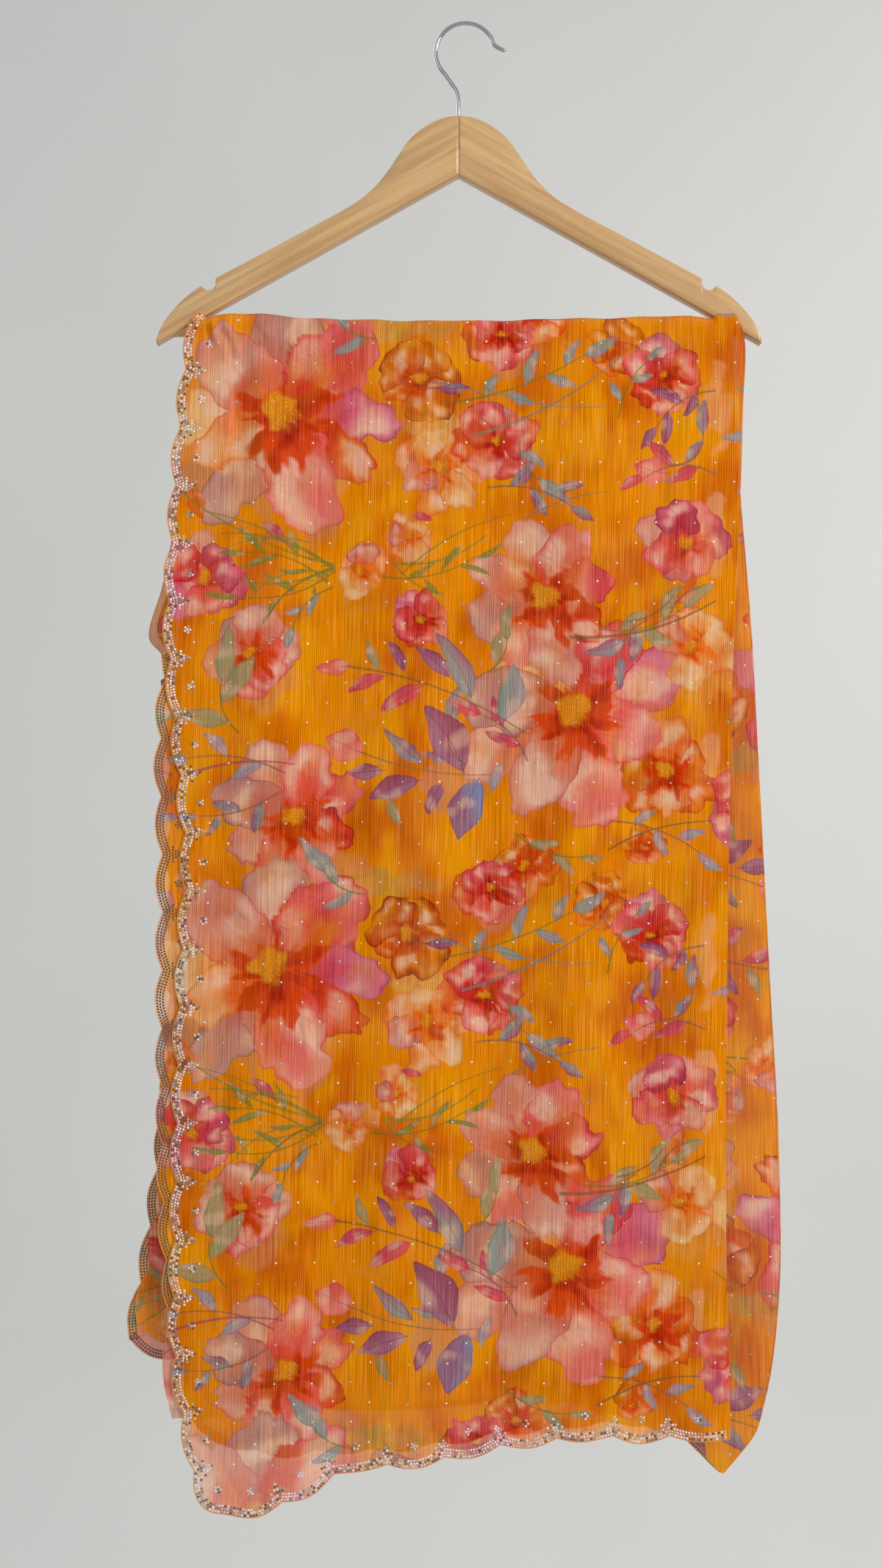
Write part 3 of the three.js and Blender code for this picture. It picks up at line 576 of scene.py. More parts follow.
def paint_flowers(layers, across, down, shift):
    """The pools with the painted fold highlight, the small flowers and the large blossoms of one repeat of
    the print.
    """
    for n, (middle, half, colour) in enumerate(POOLS_AND_FOLD_HIGHLIGHT):
        u, v = across - middle[0] - shift[0], down - middle[1] - shift[1]
        near = np.nonzero((np.abs(u) < 1.5 * half[0]) & (np.abs(v) < 1.5 * half[1]))[0]
        if len(near):
            u, v = u[near], v[near]
            away = np.hypot(u / half[0], v / half[1])
            lobe = 0.88 + 0.3 * wash(u, v, 34, 500 + n)
            depth = np.hypot(u, v) * (1 - lobe / np.maximum(away, 0.05))
            warm = 0.6 * smooth_step(0, 1, wash(u, v, 30, 520 + n))
            tone = mixed(linear(colour), linear("#E8A86C"), warm[:, None])
            lay_paint(layers["pools"], near, depth, tone)
    for n, (u0, v0, radius, count, turn, family) in enumerate(SMALL_FLOWERS):
        paints, deep, glow, heart, eye = FAMILIES[family]
        draw = np.random.default_rng(300 + n)
        petals = []
        for k in range(count):
            axis = turn + 360 * k / count + draw.normal(0, 7)
            length = radius * draw.uniform(0.8, 1.12)
            half = radius * math.sin(math.pi / count) * draw.uniform(0.85, 1.2)
            petals.append((axis, length, half, paints[k % len(paints)]))
        centre = (u0 + shift[0], v0 + shift[1])
        sizes = (eye * radius, heart * radius)
        paint_flower(layers, across, down, centre, *sizes, petals, (deep, glow), 1000 + 100 * n)
    for n, (middle, eye, heart, petals) in enumerate(BLOSSOMS):
        centre = (middle[0] + shift[0], middle[1] + shift[1])
        tones = FAMILIES["blush"][1:3]
        paint_flower(layers, across, down, centre, eye, heart, petals, tones, 5000 + 300 * n)


def paint_leaf(layers, line_sets, across, down, base, tip, wide, family, seed):
    """A pointed leaf from base to tip that runs from one tone to another, with a faint midrib."""
    draw = np.random.default_rng(seed)
    base, tip = np.array(base, float), np.array(tip, float)
    length = math.dist(base, tip)
    axis = math.atan2(tip[1] - base[1], tip[0] - base[0])
    half = length * wide * draw.uniform(0.9, 1.1)
    bow = length * draw.uniform(-0.1, 0.1)
    du, dv = across - base[0], down - base[1]
    near = np.nonzero(np.hypot(du, dv) < 1.25 * length)[0]
    if not len(near):
        return
    along = (du[near] * np.cos(axis) + dv[near] * np.sin(axis)) / length
    aside = -du[near] * np.sin(axis) + dv[near] * np.cos(axis)
    inside = np.clip(along, 0, 1)
    aside = aside - bow * 4 * inside * (1 - inside)
    width = half * np.sin(np.pi * inside**0.8) ** 0.85
    width = width * (1 + 0.12 * np.sin(inside * 9 + draw.uniform(0, 6)))
    past = np.maximum(np.maximum(-along, along - 1), 0) * length
    depth = np.hypot(np.maximum(np.abs(aside) - width, 0), past)
    depth = np.where(past > 0, depth, np.abs(aside) - width)
    first, second = (linear(c) for c in LEAF_COLOURS[family])
    share = 0.5 + 0.5 * aside / half + 0.6 * (inside - 0.5)
    share = np.clip(share + 0.3 * wash(across[near], down[near], length * 0.6, seed), 0, 1)
    colour = mixed(first, second, share[:, None])
    lit = 0.5 * smooth_step(0.2, 0.9, wash(across[near], down[near], length * 0.5, seed + 1))
    colour = mixed(colour, linear("#E8C4B4"), lit[:, None])
    lay_paint(layers["leaves"], near, depth, colour)
    if half > 4:
        rib = bowed(base, mixed(base, tip, 0.85), bow * 0.85, 6)
        lay_line(line_sets, across, down, rib, 0.2, second * 0.8)


def paint_spray(layers, line_sets, across, down, spray, shift, seed):
    """A bowed stem with leaves on alternate sides and one at its end."""
    start, end, bow, leaves, length, family = spray
    route = bowed(start, end, bow) + np.array(shift)
    low, high = route.min(0) - 30, route.max(0) + 30
    if across.max() < low[0] or across.min() > high[0]:
        return
    if down.max() < low[1] or down.min() > high[1]:
        return
    draw = np.random.default_rng(seed)
    stem = linear("#75782A") if family in ("olive", "grey", "teal") else linear("#8C6050")
    lay_line(line_sets, across, down, route, STEM_HALF, stem)
    for k in range(leaves):
        share = 0.22 + 0.78 * k / max(leaves - 1, 1)
        at = share * (len(route) - 1)
        i = min(int(at), len(route) - 2)
        base = mixed(route[i], route[i + 1], at - i)
        run = route[i + 1] - route[i]
        axis = math.atan2(run[1], run[0])
        if k < leaves - 1:
            axis += (1 if k % 2 else -1) * draw.uniform(0.55, 0.95)
        size = length * draw.uniform(0.8, 1.15)
        tip = base + size * np.array([math.cos(axis), math.sin(axis)])
        wide = 0.08 if family == "olive" else 0.17
        paint_leaf(layers, line_sets, across, down, base, tip, wide, family, seed + 3 * k)


def repeats_over(places, drop=0.0):
    """The numbers of the repeats that reach these places."""
    first = math.floor((places.min() - drop - PRINT_MARGIN) / REPEAT)
    last = math.floor((places.max() - drop + PRINT_MARGIN) / REPEAT)
    return range(first, last + 1)


def paint_print(across, down):
    """All layers of the print at these points of flat cloth."""
    count = len(across)
    layers = {
        n: {"colour": np.zeros((count, 3)), "depth": np.full(count, FAR)} for n in PAINTS
    }
    layers["hearts"]["colour"] = np.zeros((count, 4))  # the fourth value marks the eye
    line_sets = {
        n: {
            "colour": np.zeros((count, 3)),
            "away": np.full(count, FAR),
            "side": np.full(count, FAR),
            "half": np.full(count, STEM_HALF),
        }
        for n in LINE_SETS
    }
    loose_across, loose_down = warped(across, down)
    for i in repeats_over(across):
        drop = HALF_DROP * (i % 2)
        for j in repeats_over(down, drop):
            shift = (i * REPEAT, j * REPEAT + drop)
            paint_flowers(layers, loose_across, loose_down, shift)
            for start, end, bow, half, colour in STROKES:
                route = bowed(start, end, bow) + np.array(shift)
                lay_line(line_sets, across, down, route, half, linear(colour))
            for n, spray in enumerate(SPRAYS):
                paint_spray(layers, line_sets, across, down, spray, shift, 9000 + 50 * n)
            for n, (base, tip, wide, family) in enumerate(LEAVES):
                places = (np.add(base, shift), np.add(tip, shift))
                paint_leaf(layers, line_sets, across, down, *places, wide, family, 7000 + n)
    return layers, line_sets


# ---------------------------------------------------------------- how the cloth hangs


def fold_depth(folds, x, z):
    """How far the soft folds move a layer along Y."""
    drop = np.clip((BAR_Z - z) / FALL_LENGTH, 0, 1.2)
    total = np.zeros_like(x)
    for middle, half, depth, drift, opens in folds:
        opened = smooth_step(0, opens, drop)
        total += depth * opened * np.exp(-(((x - middle - drift * drop) / half) ** 2))
    return total


PRESSED_X, PRESSED_DRIFT = 113.0, -28.0  # the pressed crease: its place, and its drift over the drop
PRESSED_DEPTH, PRESSED_HALF = -1.9, 8.0


def front_ripples(x, z):
    """Small waves that all the front layers share: one pressed crease and slight fullness."""
    drop = np.clip((BAR_Z - z) / FALL_LENGTH, 0, 1.2)
    opened = smooth_step(0.02, 0.25, drop)
    off_crease = np.abs(x - (PRESSED_X + PRESSED_DRIFT * drop))
    faded = 1 - smooth_step(0.3, 0.75, drop)
    crease = PRESSED_DEPTH * np.exp(-off_crease / PRESSED_HALF) * faded
    waves = 0.35 * np.sin(x / 9.5 + 1.2 * np.sin(z / 130)) * opened
    waves += 0.3 * np.sin(x / 5.3 + z / 210 + 1) * opened
    return crease * smooth_step(0, 0.03, drop) + waves + soft_creases(FRONT_CREASES, x, z)


# Soft creases at the top left corner and further down: start and end (x, z), half width, depth.
FRONT_CREASES = [
    ((-188, -210), (-180, -242), 2.2, -3.4), ((-178, -210), (-164, -250), 2.8, -3.4),
    ((-168, -214), (-163, -350), 7.5, 2.6), ((-150, -212), (-147, -345), 8.0, -2.6),
    ((-158, -208), (-140, -238), 2.4, -2.0),
    ((-214, -905), (-48, -862), 4.0, -1.9), ((-216, -932), (-94, -894), 3.2, -1.5),
    ((100, -838), (196, -824), 5.0, -2.2), ((-90, -800), (40, -838), 4.5, -1.4),
    ((-10, -930), (120, -958), 5.0, -1.6), ((-195, -640), (-110, -668), 3.6, -1.3),
    ((110, -560), (194, -536), 4.5, -1.5), ((-60, -1010), (60, -1000), 4.5, -1.6),
]


def soft_creases(creases, x, z):
    total = np.zeros_like(x)
    for (x0, z0), (x1, z1), half, depth in creases:
        run = np.array([x1 - x0, z1 - z0])
        length = math.hypot(*run)
        share = ((x - x0) * run[0] + (z - z0) * run[1]) / length**2
        off = ((x - x0) * -run[1] + (z - z0) * run[0]) / length
        fade = smooth_step(0, 0.3, share) * (1 - smooth_step(0.7, 1, share))
        total += depth * fade * np.exp(-((off / half) ** 2))
    return total


def back_ripples(x, z):
    drop = np.clip((BAR_Z - z) / FALL_LENGTH, 0, 1.2)
    opened = smooth_step(0.02, 0.3, drop)
    return opened * (0.4 * np.sin(x / 10 + z / 160) + 0.3 * np.sin(x / 5.7 - z / 190))


PINCH = (-193.0, -215.0)  # the top corner is bunched in front of the arm
PINCH_DEPTH, PINCH_REACH, PINCH_RAYS = 4.2, 26.0, 13
LUMPS_END = 182.0  # from the seam: beyond this the bundle over the bar is smooth


def corner_pinch(x, z):
    """Wrinkles that fan out from the bunched top corner, always towards the front."""
    away = np.hypot(x - PINCH[0], z - PINCH[1])
    angle = np.arctan2(z - PINCH[1], x - PINCH[0])
    fan = 0.5 + 0.5 * np.sin(PINCH_RAYS * angle + away / 14)
    return PINCH_DEPTH * fan * np.exp(-away / PINCH_REACH) * smooth_step(1, 9, away)


def saddle_top(x):
    xs, lifts = zip(*SADDLE_LIFT)
    lumps = 0.35 * np.sin(x / 6.1) + 0.3 * np.sin(x / 11.7 + 2)
    lumps = lumps * smooth_step(0, 12, LUMPS_END - np.abs(x - SEAM_X))
    return SADDLE_RISE + np.interp(x, xs, lifts) + lumps


def hang(x, z, side, layer_y):
    """The place of a point of a sheet, given by where it lies when seen from the front. Over the
    bar the sheet bends back to the top line, and beyond the bar its corner stands at the arm."""
    folds, ripples = (FRONT_FOLDS, front_ripples) if side < 0 else (BACK_FOLDS, back_ripples)
    depth = layer_y + side * (fold_depth(folds, x, z) + ripples(x, z))
    if side < 0 and layer_y == OUTER_Y:
        depth = depth + corner_pinch(x, z)
    rise = np.clip((z - BAR_Z) / (FLAP_TOP_Z - BAR_Z), 0, 1)
    turn = rise * np.pi / 2
    over_y = depth * np.cos(turn)
    over_z = BAR_Z + saddle_top(x) * np.sin(turn)
    flap_y = depth - (layer_y - ARM_FACE_Y) * rise**3
    beyond = smooth_step(FLAP_START, FLAP_END, np.abs(x - SEAM_X))
    y = mixed(over_y, flap_y, beyond)
    high = np.where(rise > 0, mixed(over_z, z, beyond), z)
    return np.stack([x, side * y, high], axis=-1)


def patch(left, right, top, bottom, shares):
    """Points (x, z) of a sheet between its four edges. shares are the columns' places, 0 to 1."""
    u = shares[None, :, None]
    v = np.linspace(0, 1, len(left))[:, None, None]
    corners = (
        (1 - u) * (1 - v) * left[0] + u * (1 - v) * right[0]
        + (1 - u) * v * left[-1] + u * v * right[-1]
    )
    sides = (1 - u) * left[:, None] + u * right[:, None]
    return sides + (1 - v) * top[None] + v * bottom[None] - corners


def at_shares(line, shares):
    """Points of a line at these shares of its length."""
    line = evenly(line, 801)
    at = shares * 800
    i = np.minimum(at.astype(int), 799)
    return mixed(line[i], line[i + 1], (at - i)[:, None])


def graded(count, dense):
    """Column places from 0 to 1 that lie closer together near both ends as dense goes up to 1."""
    even = np.linspace(0, 1, count)
    return mixed(even, 0.5 - 0.5 * np.cos(np.pi * even), dense)


INNER_GRID = (130, 60)  # rows and columns of an inner fall
EDGE_RISE, FOLD_RISE = 9.0, 7.5  # how the turned half's top line climbs at its edge and its fold
FOLD_TURNS = 5  # columns round a folded edge
FOLD_RADIUS = 1.5
PRINT_TOP_Z = -213.0


def cloth_sheet(name, grid, across, down, material):
    """A sheet from a grid of points, with the print painted at its vertices."""
    rows, columns = grid.shape[:2]
    piece = mesh_piece(name, grid.reshape(-1, 3), grid_faces(rows, columns), material)
    across, down = across.ravel(), down.ravel()
    layers, line_sets = paint_print(across, down)
    mesh = piece.data
    keep_values(mesh, "cloth_mm", "FLOAT_VECTOR", np.stack([across, down, 0 * down], axis=1))
    for layer, paint in layers.items():
        keep_values(mesh, layer, "FLOAT_COLOR", paint["colour"])
        keep_values(mesh, layer + "_depth", "FLOAT", paint["depth"])
    for lines_name, lines in line_sets.items():
        keep_values(mesh, lines_name, "FLOAT_COLOR", lines["colour"])
        place = np.stack([lines["side"], lines["away"], lines["half"]], axis=1)
        keep_values(mesh, lines_name + "_place", "FLOAT_VECTOR", place)
    return piece


def folded_stretch(name, side, halves, fold, columns, print_start, material):
    """One stretch of the saree: its outer half, the soft fold on the right, and the half that is
    turned back behind it, in one sheet."""
    outer, turned = halves
    edge = scalloped(outer[0], outer[2])[0]
    rows = len(edge)
    fold_line = evenly(flowing(fold), rows) - [FOLD_RADIUS, 0]
    hem = np.vstack([scalloped(outer[1])[0], fold_line[-1]])
    shares = graded(columns[0], 0.0)
    top = mixed(edge[0], fold_line[0], shares[:, None])
    flat = patch(edge, fold_line, top, at_shares(hem, shares), shares)

    inner_edge = evenly(scalloped(turned[0], turned[2])[0], rows)
    inner_hem = np.vstack([scalloped(turned[1])[0], fold_line[-1]])
    inner_shares = graded(columns[1], 0.75)
    inner_top = mixed(inner_edge[0], fold_line[0], inner_shares[:, None])
    rise = EDGE_RISE * smooth_step(0, 0.03, inner_shares)
    rise += FOLD_RISE * smooth_step(0.95, 1, inner_shares)
    climb = fold_line[0, 1] - inner_edge[0, 1]
    inner_top[:, 1] = inner_edge[0, 1] + rise * climb / (EDGE_RISE + FOLD_RISE)
    behind = patch(inner_edge, fold_line, inner_top, at_shares(inner_hem, inner_shares), inner_shares)

    front_points = hang(flat[..., 0], flat[..., 1], side, OUTER_Y)
    back_points = hang(behind[..., 0], behind[..., 1], side, TURNED_Y)[:, ::-1]
    turn = np.pi * np.arange(1, FOLD_TURNS + 1) / (FOLD_TURNS + 1)
    start, end = front_points[:, -1:], back_points[:, :1]
    middle, reach = (start + end) / 2, (start - end) / 2
    proud = np.cos(turn)[None, :, None] * (1 + 0.5 * np.sin(turn))[None, :, None]
    round_points = middle + reach * proud
    round_points[..., 0] += FOLD_RADIUS * np.sin(turn)
    grid = np.concatenate([front_points, round_points, back_points], axis=1)

    fold_across = np.full((rows, 1), fold_line[:, 0].mean())
    across = np.concatenate(
        [
            flat[..., 0],
            fold_line[:, :1] + FOLD_RADIUS * turn[None],
            2 * fold_across + FOLD_RADIUS * np.pi - behind[:, ::-1, 0],
        ],
        axis=1,
    )
    level = np.concatenate(
        [flat[..., 1], np.repeat(fold_line[:, 1:], FOLD_TURNS, axis=1), behind[:, ::-1, 1]], axis=1
    )
    down = -side * (PRINT_TOP_Z - level)  # the rear stretch carries on over the bar
    across = across - print_start[0] + PRINT_SLANT * np.abs(down)
    down = down + print_start[1]
    return cloth_sheet(name, grid, across, down, material)


def inner_fall(name, side, edge, end_z, print_start, material):
    """The inner passes on one side of the bar, as one plain sheet."""
    rows, columns = INNER_GRID
    left = evenly(flowing(edge), rows)
    right = np.stack(
        [np.full(rows, INNER_RIGHT_X), np.linspace(left[0, 1], end_z, rows)], axis=1
    )
    shares = graded(columns, 0.5)
    top = mixed(left[0], right[0], shares[:, None])
    hem = mixed(left[-1], right[-1], shares[:, None])
    flat = patch(left, right, top, hem, shares)
    x, z = flat[..., 0], flat[..., 1]
    grid = hang(x, z, side, INNER_Y)
    return cloth_sheet(name, grid, x - print_start, PRINT_TOP_Z - z, material)


# ---------------------------------------------------------------- stones and threads

# Cut stones: widest radius and tints, as the foil behind the glass shows them. The border's dark grey tints
# are painted reflection: they stand in for stones whose facets mirror shade.
BORDER_STONE = (1.0, ("#FFFFFF", "#F6FAFF", "#F2E4EA", "#5E5A50", "#8E8C86", "#B4BAC2", "#E2D6AC"))
SINGLE_STONE = (0.85, ("#FFFFFF", "#F6FAFF", "#E8D8B8", "#B4B0A4", "#C4CAD2"))
STONE_STEP = 2.15  # between stones of a row
BORDER_ROWS = (1.5, 3.65, 5.8)  # inward from the cut edge
# The tail at each cusp: how far inward, and the places along the row.
TAIL_ROWS = (
    (7.8, (-5.2, -3.1, -1.0, 1.1, 3.2, 5.3)), (9.9, (-2.2, 0.0, 2.2)),
    (12.0, (-1.0, 1.2)), (14.0, (0.4,)),
)
FLOWER_INSET = 18.0  # from the scallop's edge to the middle of a stone flower
FLOWER_STONES, FLOWER_RADIUS = 5, 2.1
SCATTER_ACROSS, SCATTER_DOWN = 14.0, 14.6  # every second crossing of this net holds a stone
SCATTER_COLUMNS, SCATTER_ROWS = 36, 62
SCATTER_LEFT, SCATTER_TOP_Z = -250.0, PRINT_TOP_Z - 8
EDGE_CLEAR, FOLD_CLEAR = 13.0, 1.5  # single stones stay this far from an edge and a fold
STRIP_LEFT = 184.0  # right of this the turned half of the back shows from the front
FACETS, TABLE_SHARE, CROWN_SHARE = 6, 0.56, 0.48  # flat top and height, as shares of the radius
GIRDLE_LIFT = 0.04  # of a stone's widest line over the cloth
GLUE_SIDES, GLUE_RADIUS, GLUE_PROUD = 8, 0.85, 0.12
STITCH_SIDES, STITCH_RADIUS = 5, 0.24


def inset_line(edge, inset):
    """The line that runs inside a scalloped edge at this distance."""
    along = np.gradient(edge, axis=0)
    along /= np.linalg.norm(along, axis=1)[:, None]
    return edge - np.stack([along[:, 1], -along[:, 0]], axis=1) * inset


def border_along(points, plain_above):
    """Where the stones along one scalloped line go: rows along the scallops, a tail at each cusp
    and a small flower inside each scallop."""
    edge, out = scalloped(points, plain_above)
    draw = np.random.default_rng(31)
    places = []
    for inset in BORDER_ROWS:
        row = inset_line(edge, inset)
        places.append(evenly(row, round(line_length(row) / STONE_STEP)))
    for cusp in range(STEPS_PER_SCALLOP, len(edge) - 1, STEPS_PER_SCALLOP):
        inward, beside = -out[cusp], np.array([out[cusp][1], -out[cusp][0]])
        for inset, asides in TAIL_ROWS:
            for aside in asides:
                places.append((edge[cusp] + inward * inset + beside * aside)[None])
    for middle in range(STEPS_PER_SCALLOP // 2, len(edge) - 1, STEPS_PER_SCALLOP):
        heart = edge[middle] - out[middle] * (FLOWER_INSET + draw.uniform(-1.5, 1.5))
        turn = draw.uniform(0, 2 * np.pi)
        for k in range(FLOWER_STONES):
            angle = turn + 2 * np.pi * k / FLOWER_STONES
            places.append((heart + FLOWER_RADIUS * np.array([np.cos(angle), np.sin(angle)]))[None])
        places.append(heart[None])
    places = np.vstack(places)
    return places[places[:, 1] <= plain_above]


def border_places(half):
    """The border's stones along the open edge and the hem of one half of a stretch."""
    edge, hem, plain_above = half
    return np.vstack([border_along(edge, plain_above), border_along(hem, 0.0)])


def scattered_places(edge, hem, fold):
    """Single stones in staggered rows over the ground, clear of the edges."""
    draw = np.random.default_rng(12)
    found = []
    for i in range(SCATTER_COLUMNS):
        for j in range(SCATTER_ROWS):
            if (i + j) % 2 == 0:
                x = SCATTER_LEFT + i * SCATTER_ACROSS + draw.uniform(-0.8, 0.8)
                z = SCATTER_TOP_Z - j * SCATTER_DOWN + draw.uniform(-0.8, 0.8)
                found.append((x - PRINT_SLANT * (PRINT_TOP_Z - z), z))
    places = np.array(found)
    x, z = places.T
    edge_x = np.interp(-z, [-p[1] for p in edge], [p[0] for p in edge])
    hem_z = np.interp(x, [p[0] for p in hem], [p[1] for p in hem])
    fold_x = np.interp(-z, [-p[1] for p in fold], [p[0] for p in fold])
    return places[(x > edge_x + EDGE_CLEAR) & (x < fold_x - FOLD_CLEAR) & (z > hem_z + EDGE_CLEAR)]


def stones(name, places, side, layer_y, facing, cut, material, seed):
    """Small cut stones glued on a sheet at these (x, z). facing is -1 towards the front."""
    widest, kinds = cut
    draw = np.random.default_rng(seed)
    count, sides = len(places), FACETS
    ring = 2 * np.pi * np.arange(sides) / sides
    on_cloth = hang(places[:, 0], places[:, 1], side, layer_y)
    spin = draw.uniform(0, 2 * np.pi, count)[:, None]
    size = draw.uniform(0.92, 1.06, count)[:, None]
    tilt_x, tilt_z = draw.normal(0, 0.1, (2, count, 1))
    levels = [(widest, GIRDLE_LIFT), (widest * TABLE_SHARE, CROWN_SHARE * widest)]
    points = []
    for radius, height in levels:
        a = radius * size * np.cos(ring + spin)
        b = radius * size * np.sin(ring + spin)
        h = height + 0 * a + a * tilt_x + b * tilt_z
        points.append(np.stack([a, facing * h, b], axis=-1))
    points = np.concatenate(points, axis=1) + on_cloth[:, None]
    base = (np.arange(count) * 2 * sides)[:, None]
    faces = []
    for k in range(sides):
        n = (k + 1) % sides
        faces += (base + np.array([k, n, n + sides, k + sides])).tolist()
    faces += (base + np.arange(sides, 2 * sides)).tolist()
    piece = mesh_piece(name, points.reshape(-1, 3), faces, material, smooth=False)
    # Each stone's tint; the dark grey ones are painted reflection of shade.
    tints = np.array([linear(c) for c in kinds])
    chosen = tints[draw.integers(0, len(tints), count)] * draw.uniform(0.85, 1.0, (count, 1))
    keep_values(piece.data, "stone_tint_and_painted_reflection", "FLOAT_COLOR", np.repeat(chosen, 2 * sides, axis=0))
    return piece


def glue_dots(name, places, side, layer_y, material):
    """The dark backs of the border's stones, seen through the wrong side of the cloth."""
    corners = np.arange(GLUE_SIDES)
    ring = 2 * np.pi * corners / GLUE_SIDES
    on_cloth = hang(places[:, 0], places[:, 1], side, layer_y)
    proud = np.full(GLUE_SIDES, -GLUE_PROUD)
    disc = np.stack([GLUE_RADIUS * np.cos(ring), proud, GLUE_RADIUS * np.sin(ring)], axis=-1)
    points = on_cloth[:, None] + disc[None]
    faces = (np.arange(len(places))[:, None] * GLUE_SIDES + corners).tolist()
    return mesh_piece(name, points.reshape(-1, 3), faces, material)


def tube(points, radius, sides):
    """Points and faces of a round cord along a route that lies near the XZ plane."""
    points = np.asarray(points, float)
    along = np.gradient(points, axis=0)
    along /= np.linalg.norm(along, axis=1)[:, None]
    aside = np.cross(along, [0, 1, 0])
    aside /= np.linalg.norm(aside, axis=1)[:, None]
    outward = np.cross(aside, along)
    ring = 2 * np.pi * np.arange(sides) / sides
    radius = np.broadcast_to(radius, len(points))[:, None, None]
    rings = points[:, None] + radius * (
        aside[:, None] * np.cos(ring)[None, :, None] + outward[:, None] * np.sin(ring)[None, :, None]
    )
    at = np.arange(len(points) * sides).reshape(len(points), sides)
    nxt = np.roll(at, -1, axis=1)
    faces = np.stack([at[:-1], nxt[:-1], nxt[1:], at[1:]], axis=-1).reshape(-1, 4).tolist()
    faces += [at[0].tolist()[::-1], at[-1].tolist()]
    return rings.reshape(-1, 3), faces


def tubes(name, routes, radius, sides, material):
    """Several cords in one mesh."""
    points, faces, count = [], [], 0
    for route in routes:
        rings, sides_of = tube(route, radius, sides)
        points.append(rings)
        faces += [[i + count for i in face] for face in sides_of]
        count += len(rings)
    return mesh_piece(name, np.vstack(points), faces, material)


def edge_stitch(name, halves, side, material):
    """The fine rolled edge along the open edges and hems of a stretch."""
    routes = []
    for (edge, hem, plain_above), layer_y in zip(halves, (OUTER_Y, TURNED_Y)):
        for line in (scalloped(edge, plain_above)[0], scalloped(hem)[0]):
            routes.append(hang(line[:, 0], line[:, 1], side, layer_y))
    return tubes(name, routes, STITCH_RADIUS, STITCH_SIDES, material)


# ---------------------------------------------------------------- hanger

ARM_HALF, ARM_TOP_HALF, ARM_ROUNDING = 6.0, 4.2, 1.6
UNDER_APEX_Z, UNDER_FALL = -111.6, 0.557
RIDGE_AT_SEAM, RIDGE_TAPER = 21.0, 0.04
ARM_REACH, SEAM_GAP = 221.5, 0.15
NOTCH_REACH, NOTCH_Z, NOTCH_RADIUS = 183.5, -190.2, 5.4
# The upper edge of an arm: (distance from the seam, height).
UPPER_EDGE = [
    (0, -67.4), (10, -68.9), (20, -72.8), (29, -78.6), (36, -85), (43, -94.6), (50, -105.2),
    (57, -114.8), (64, -122.1), (71, -128.4), (80, -134.2), (92, -141), (120, -155.8),
    (150, -171.8), (178, -186.6), (190, -193.1), (200, -200.4), (207, -207.3), (213, -214.8),
    (217.5, -221.8), (220.5, -228.2), (221.5, -231.7),
]
LOOP_CENTRE_Z, LOOP_RADIUS, WIRE_RADIUS = -20.3, 21.8, 1.5
LOOP_TURNS = (0.045, 0.625)  # the round part of the hook starts and ends at these turns
HOOK_MOUTH = [(29.6, -18.9), (25.4, -17.4)]
HOOK_NECK = [(-10.6, -42.6), (-7, -48), (-5.4, -54), (SEAM_X, -62), (SEAM_X, -76), (SEAM_X, -91)]


def softened(profile, radius):
    """A closed outline with each corner cut by a small arc."""
    points = []
    for before, corner, after in zip(np.roll(profile, 1, 0), profile, np.roll(profile, -1, 0)):
        to_before, to_after = before - corner, after - corner
        cut = min(radius, 0.42 * math.hypot(*to_before), 0.42 * math.hypot(*to_after))
        start = corner + to_before / max(math.hypot(*to_before), 1e-6) * cut
        end = corner + to_after / max(math.hypot(*to_after), 1e-6) * cut
        points += [start, 0.25 * start + 0.5 * corner + 0.25 * end, end]
    return np.array(points)


def arm(name, side, material):
    """One arm: sections from the seam to the tip, with bevels towards the upper edge and the
    strap notch sunk into it."""
    outline = flowing(UPPER_EDGE)
    notch = NOTCH_REACH + NOTCH_RADIUS * np.cos(np.pi * np.linspace(0, 1, 19))
    reaches = np.concatenate([np.linspace(SEAM_GAP, ARM_REACH - 0.05, 120), notch])
    reaches = np.unique(np.round(reaches, 3))
    sections = []
    for reach in reaches:
        low = UNDER_APEX_Z - UNDER_FALL * reach
        high = max(np.interp(reach, outline[:, 0], outline[:, 1]), low + 2.4)
        ridge = min(low + RIDGE_AT_SEAM - RIDGE_TAPER * reach, high - 1)
        into = NOTCH_RADIUS**2 - (reach - NOTCH_REACH) ** 2
        if into > 0:
            high = min(high, NOTCH_Z - math.sqrt(into))
            ridge = min(ridge, high - 0.6)
        ridge = max(ridge, low + 0.9)
        top = mixed(ARM_HALF - 0.6, ARM_TOP_HALF, smooth_step(0, 9, high - ridge))
        profile = np.array(
            [
                (-ARM_HALF, low), (-ARM_HALF, ridge), (-top, high),
                (top, high), (ARM_HALF, ridge), (ARM_HALF, low),
            ]
        )
        rounded = softened(profile, ARM_ROUNDING)
        x = np.full(len(rounded), SEAM_X + side * reach)
        sections.append(np.stack([x, rounded[:, 0], rounded[:, 1]], axis=1))
    grid = np.array(sections)
    rows, columns = grid.shape[:2]
    at = np.arange(rows * columns).reshape(rows, columns)
    nxt = np.roll(at, -1, axis=1)
    order = (at[:-1], at[1:], nxt[1:], nxt[:-1])
    faces = np.stack(order if side > 0 else order[::-1], axis=-1).reshape(-1, 4).tolist()
    ends = [at[0].tolist(), at[-1].tolist()[::-1]]
    faces += ends if side > 0 else [e[::-1] for e in ends]
    piece = mesh_piece(name, grid.reshape(-1, 3), faces, material)
    slope = math.hypot(1, UNDER_FALL)
    reach = side * (grid[..., 0] - SEAM_X)
    along = (reach - UNDER_FALL * grid[..., 2]) / slope
    across = (grid[..., 2] + UNDER_FALL * reach) / slope
    places = np.stack([along, across, grid[..., 1]], axis=-1).reshape(-1, 3)
    places += [40.0 * side, 0, 9 * side]  # so that the two arms show different grain
    keep_values(piece.data, "grain_mm", "FLOAT_VECTOR", places)
    return piece


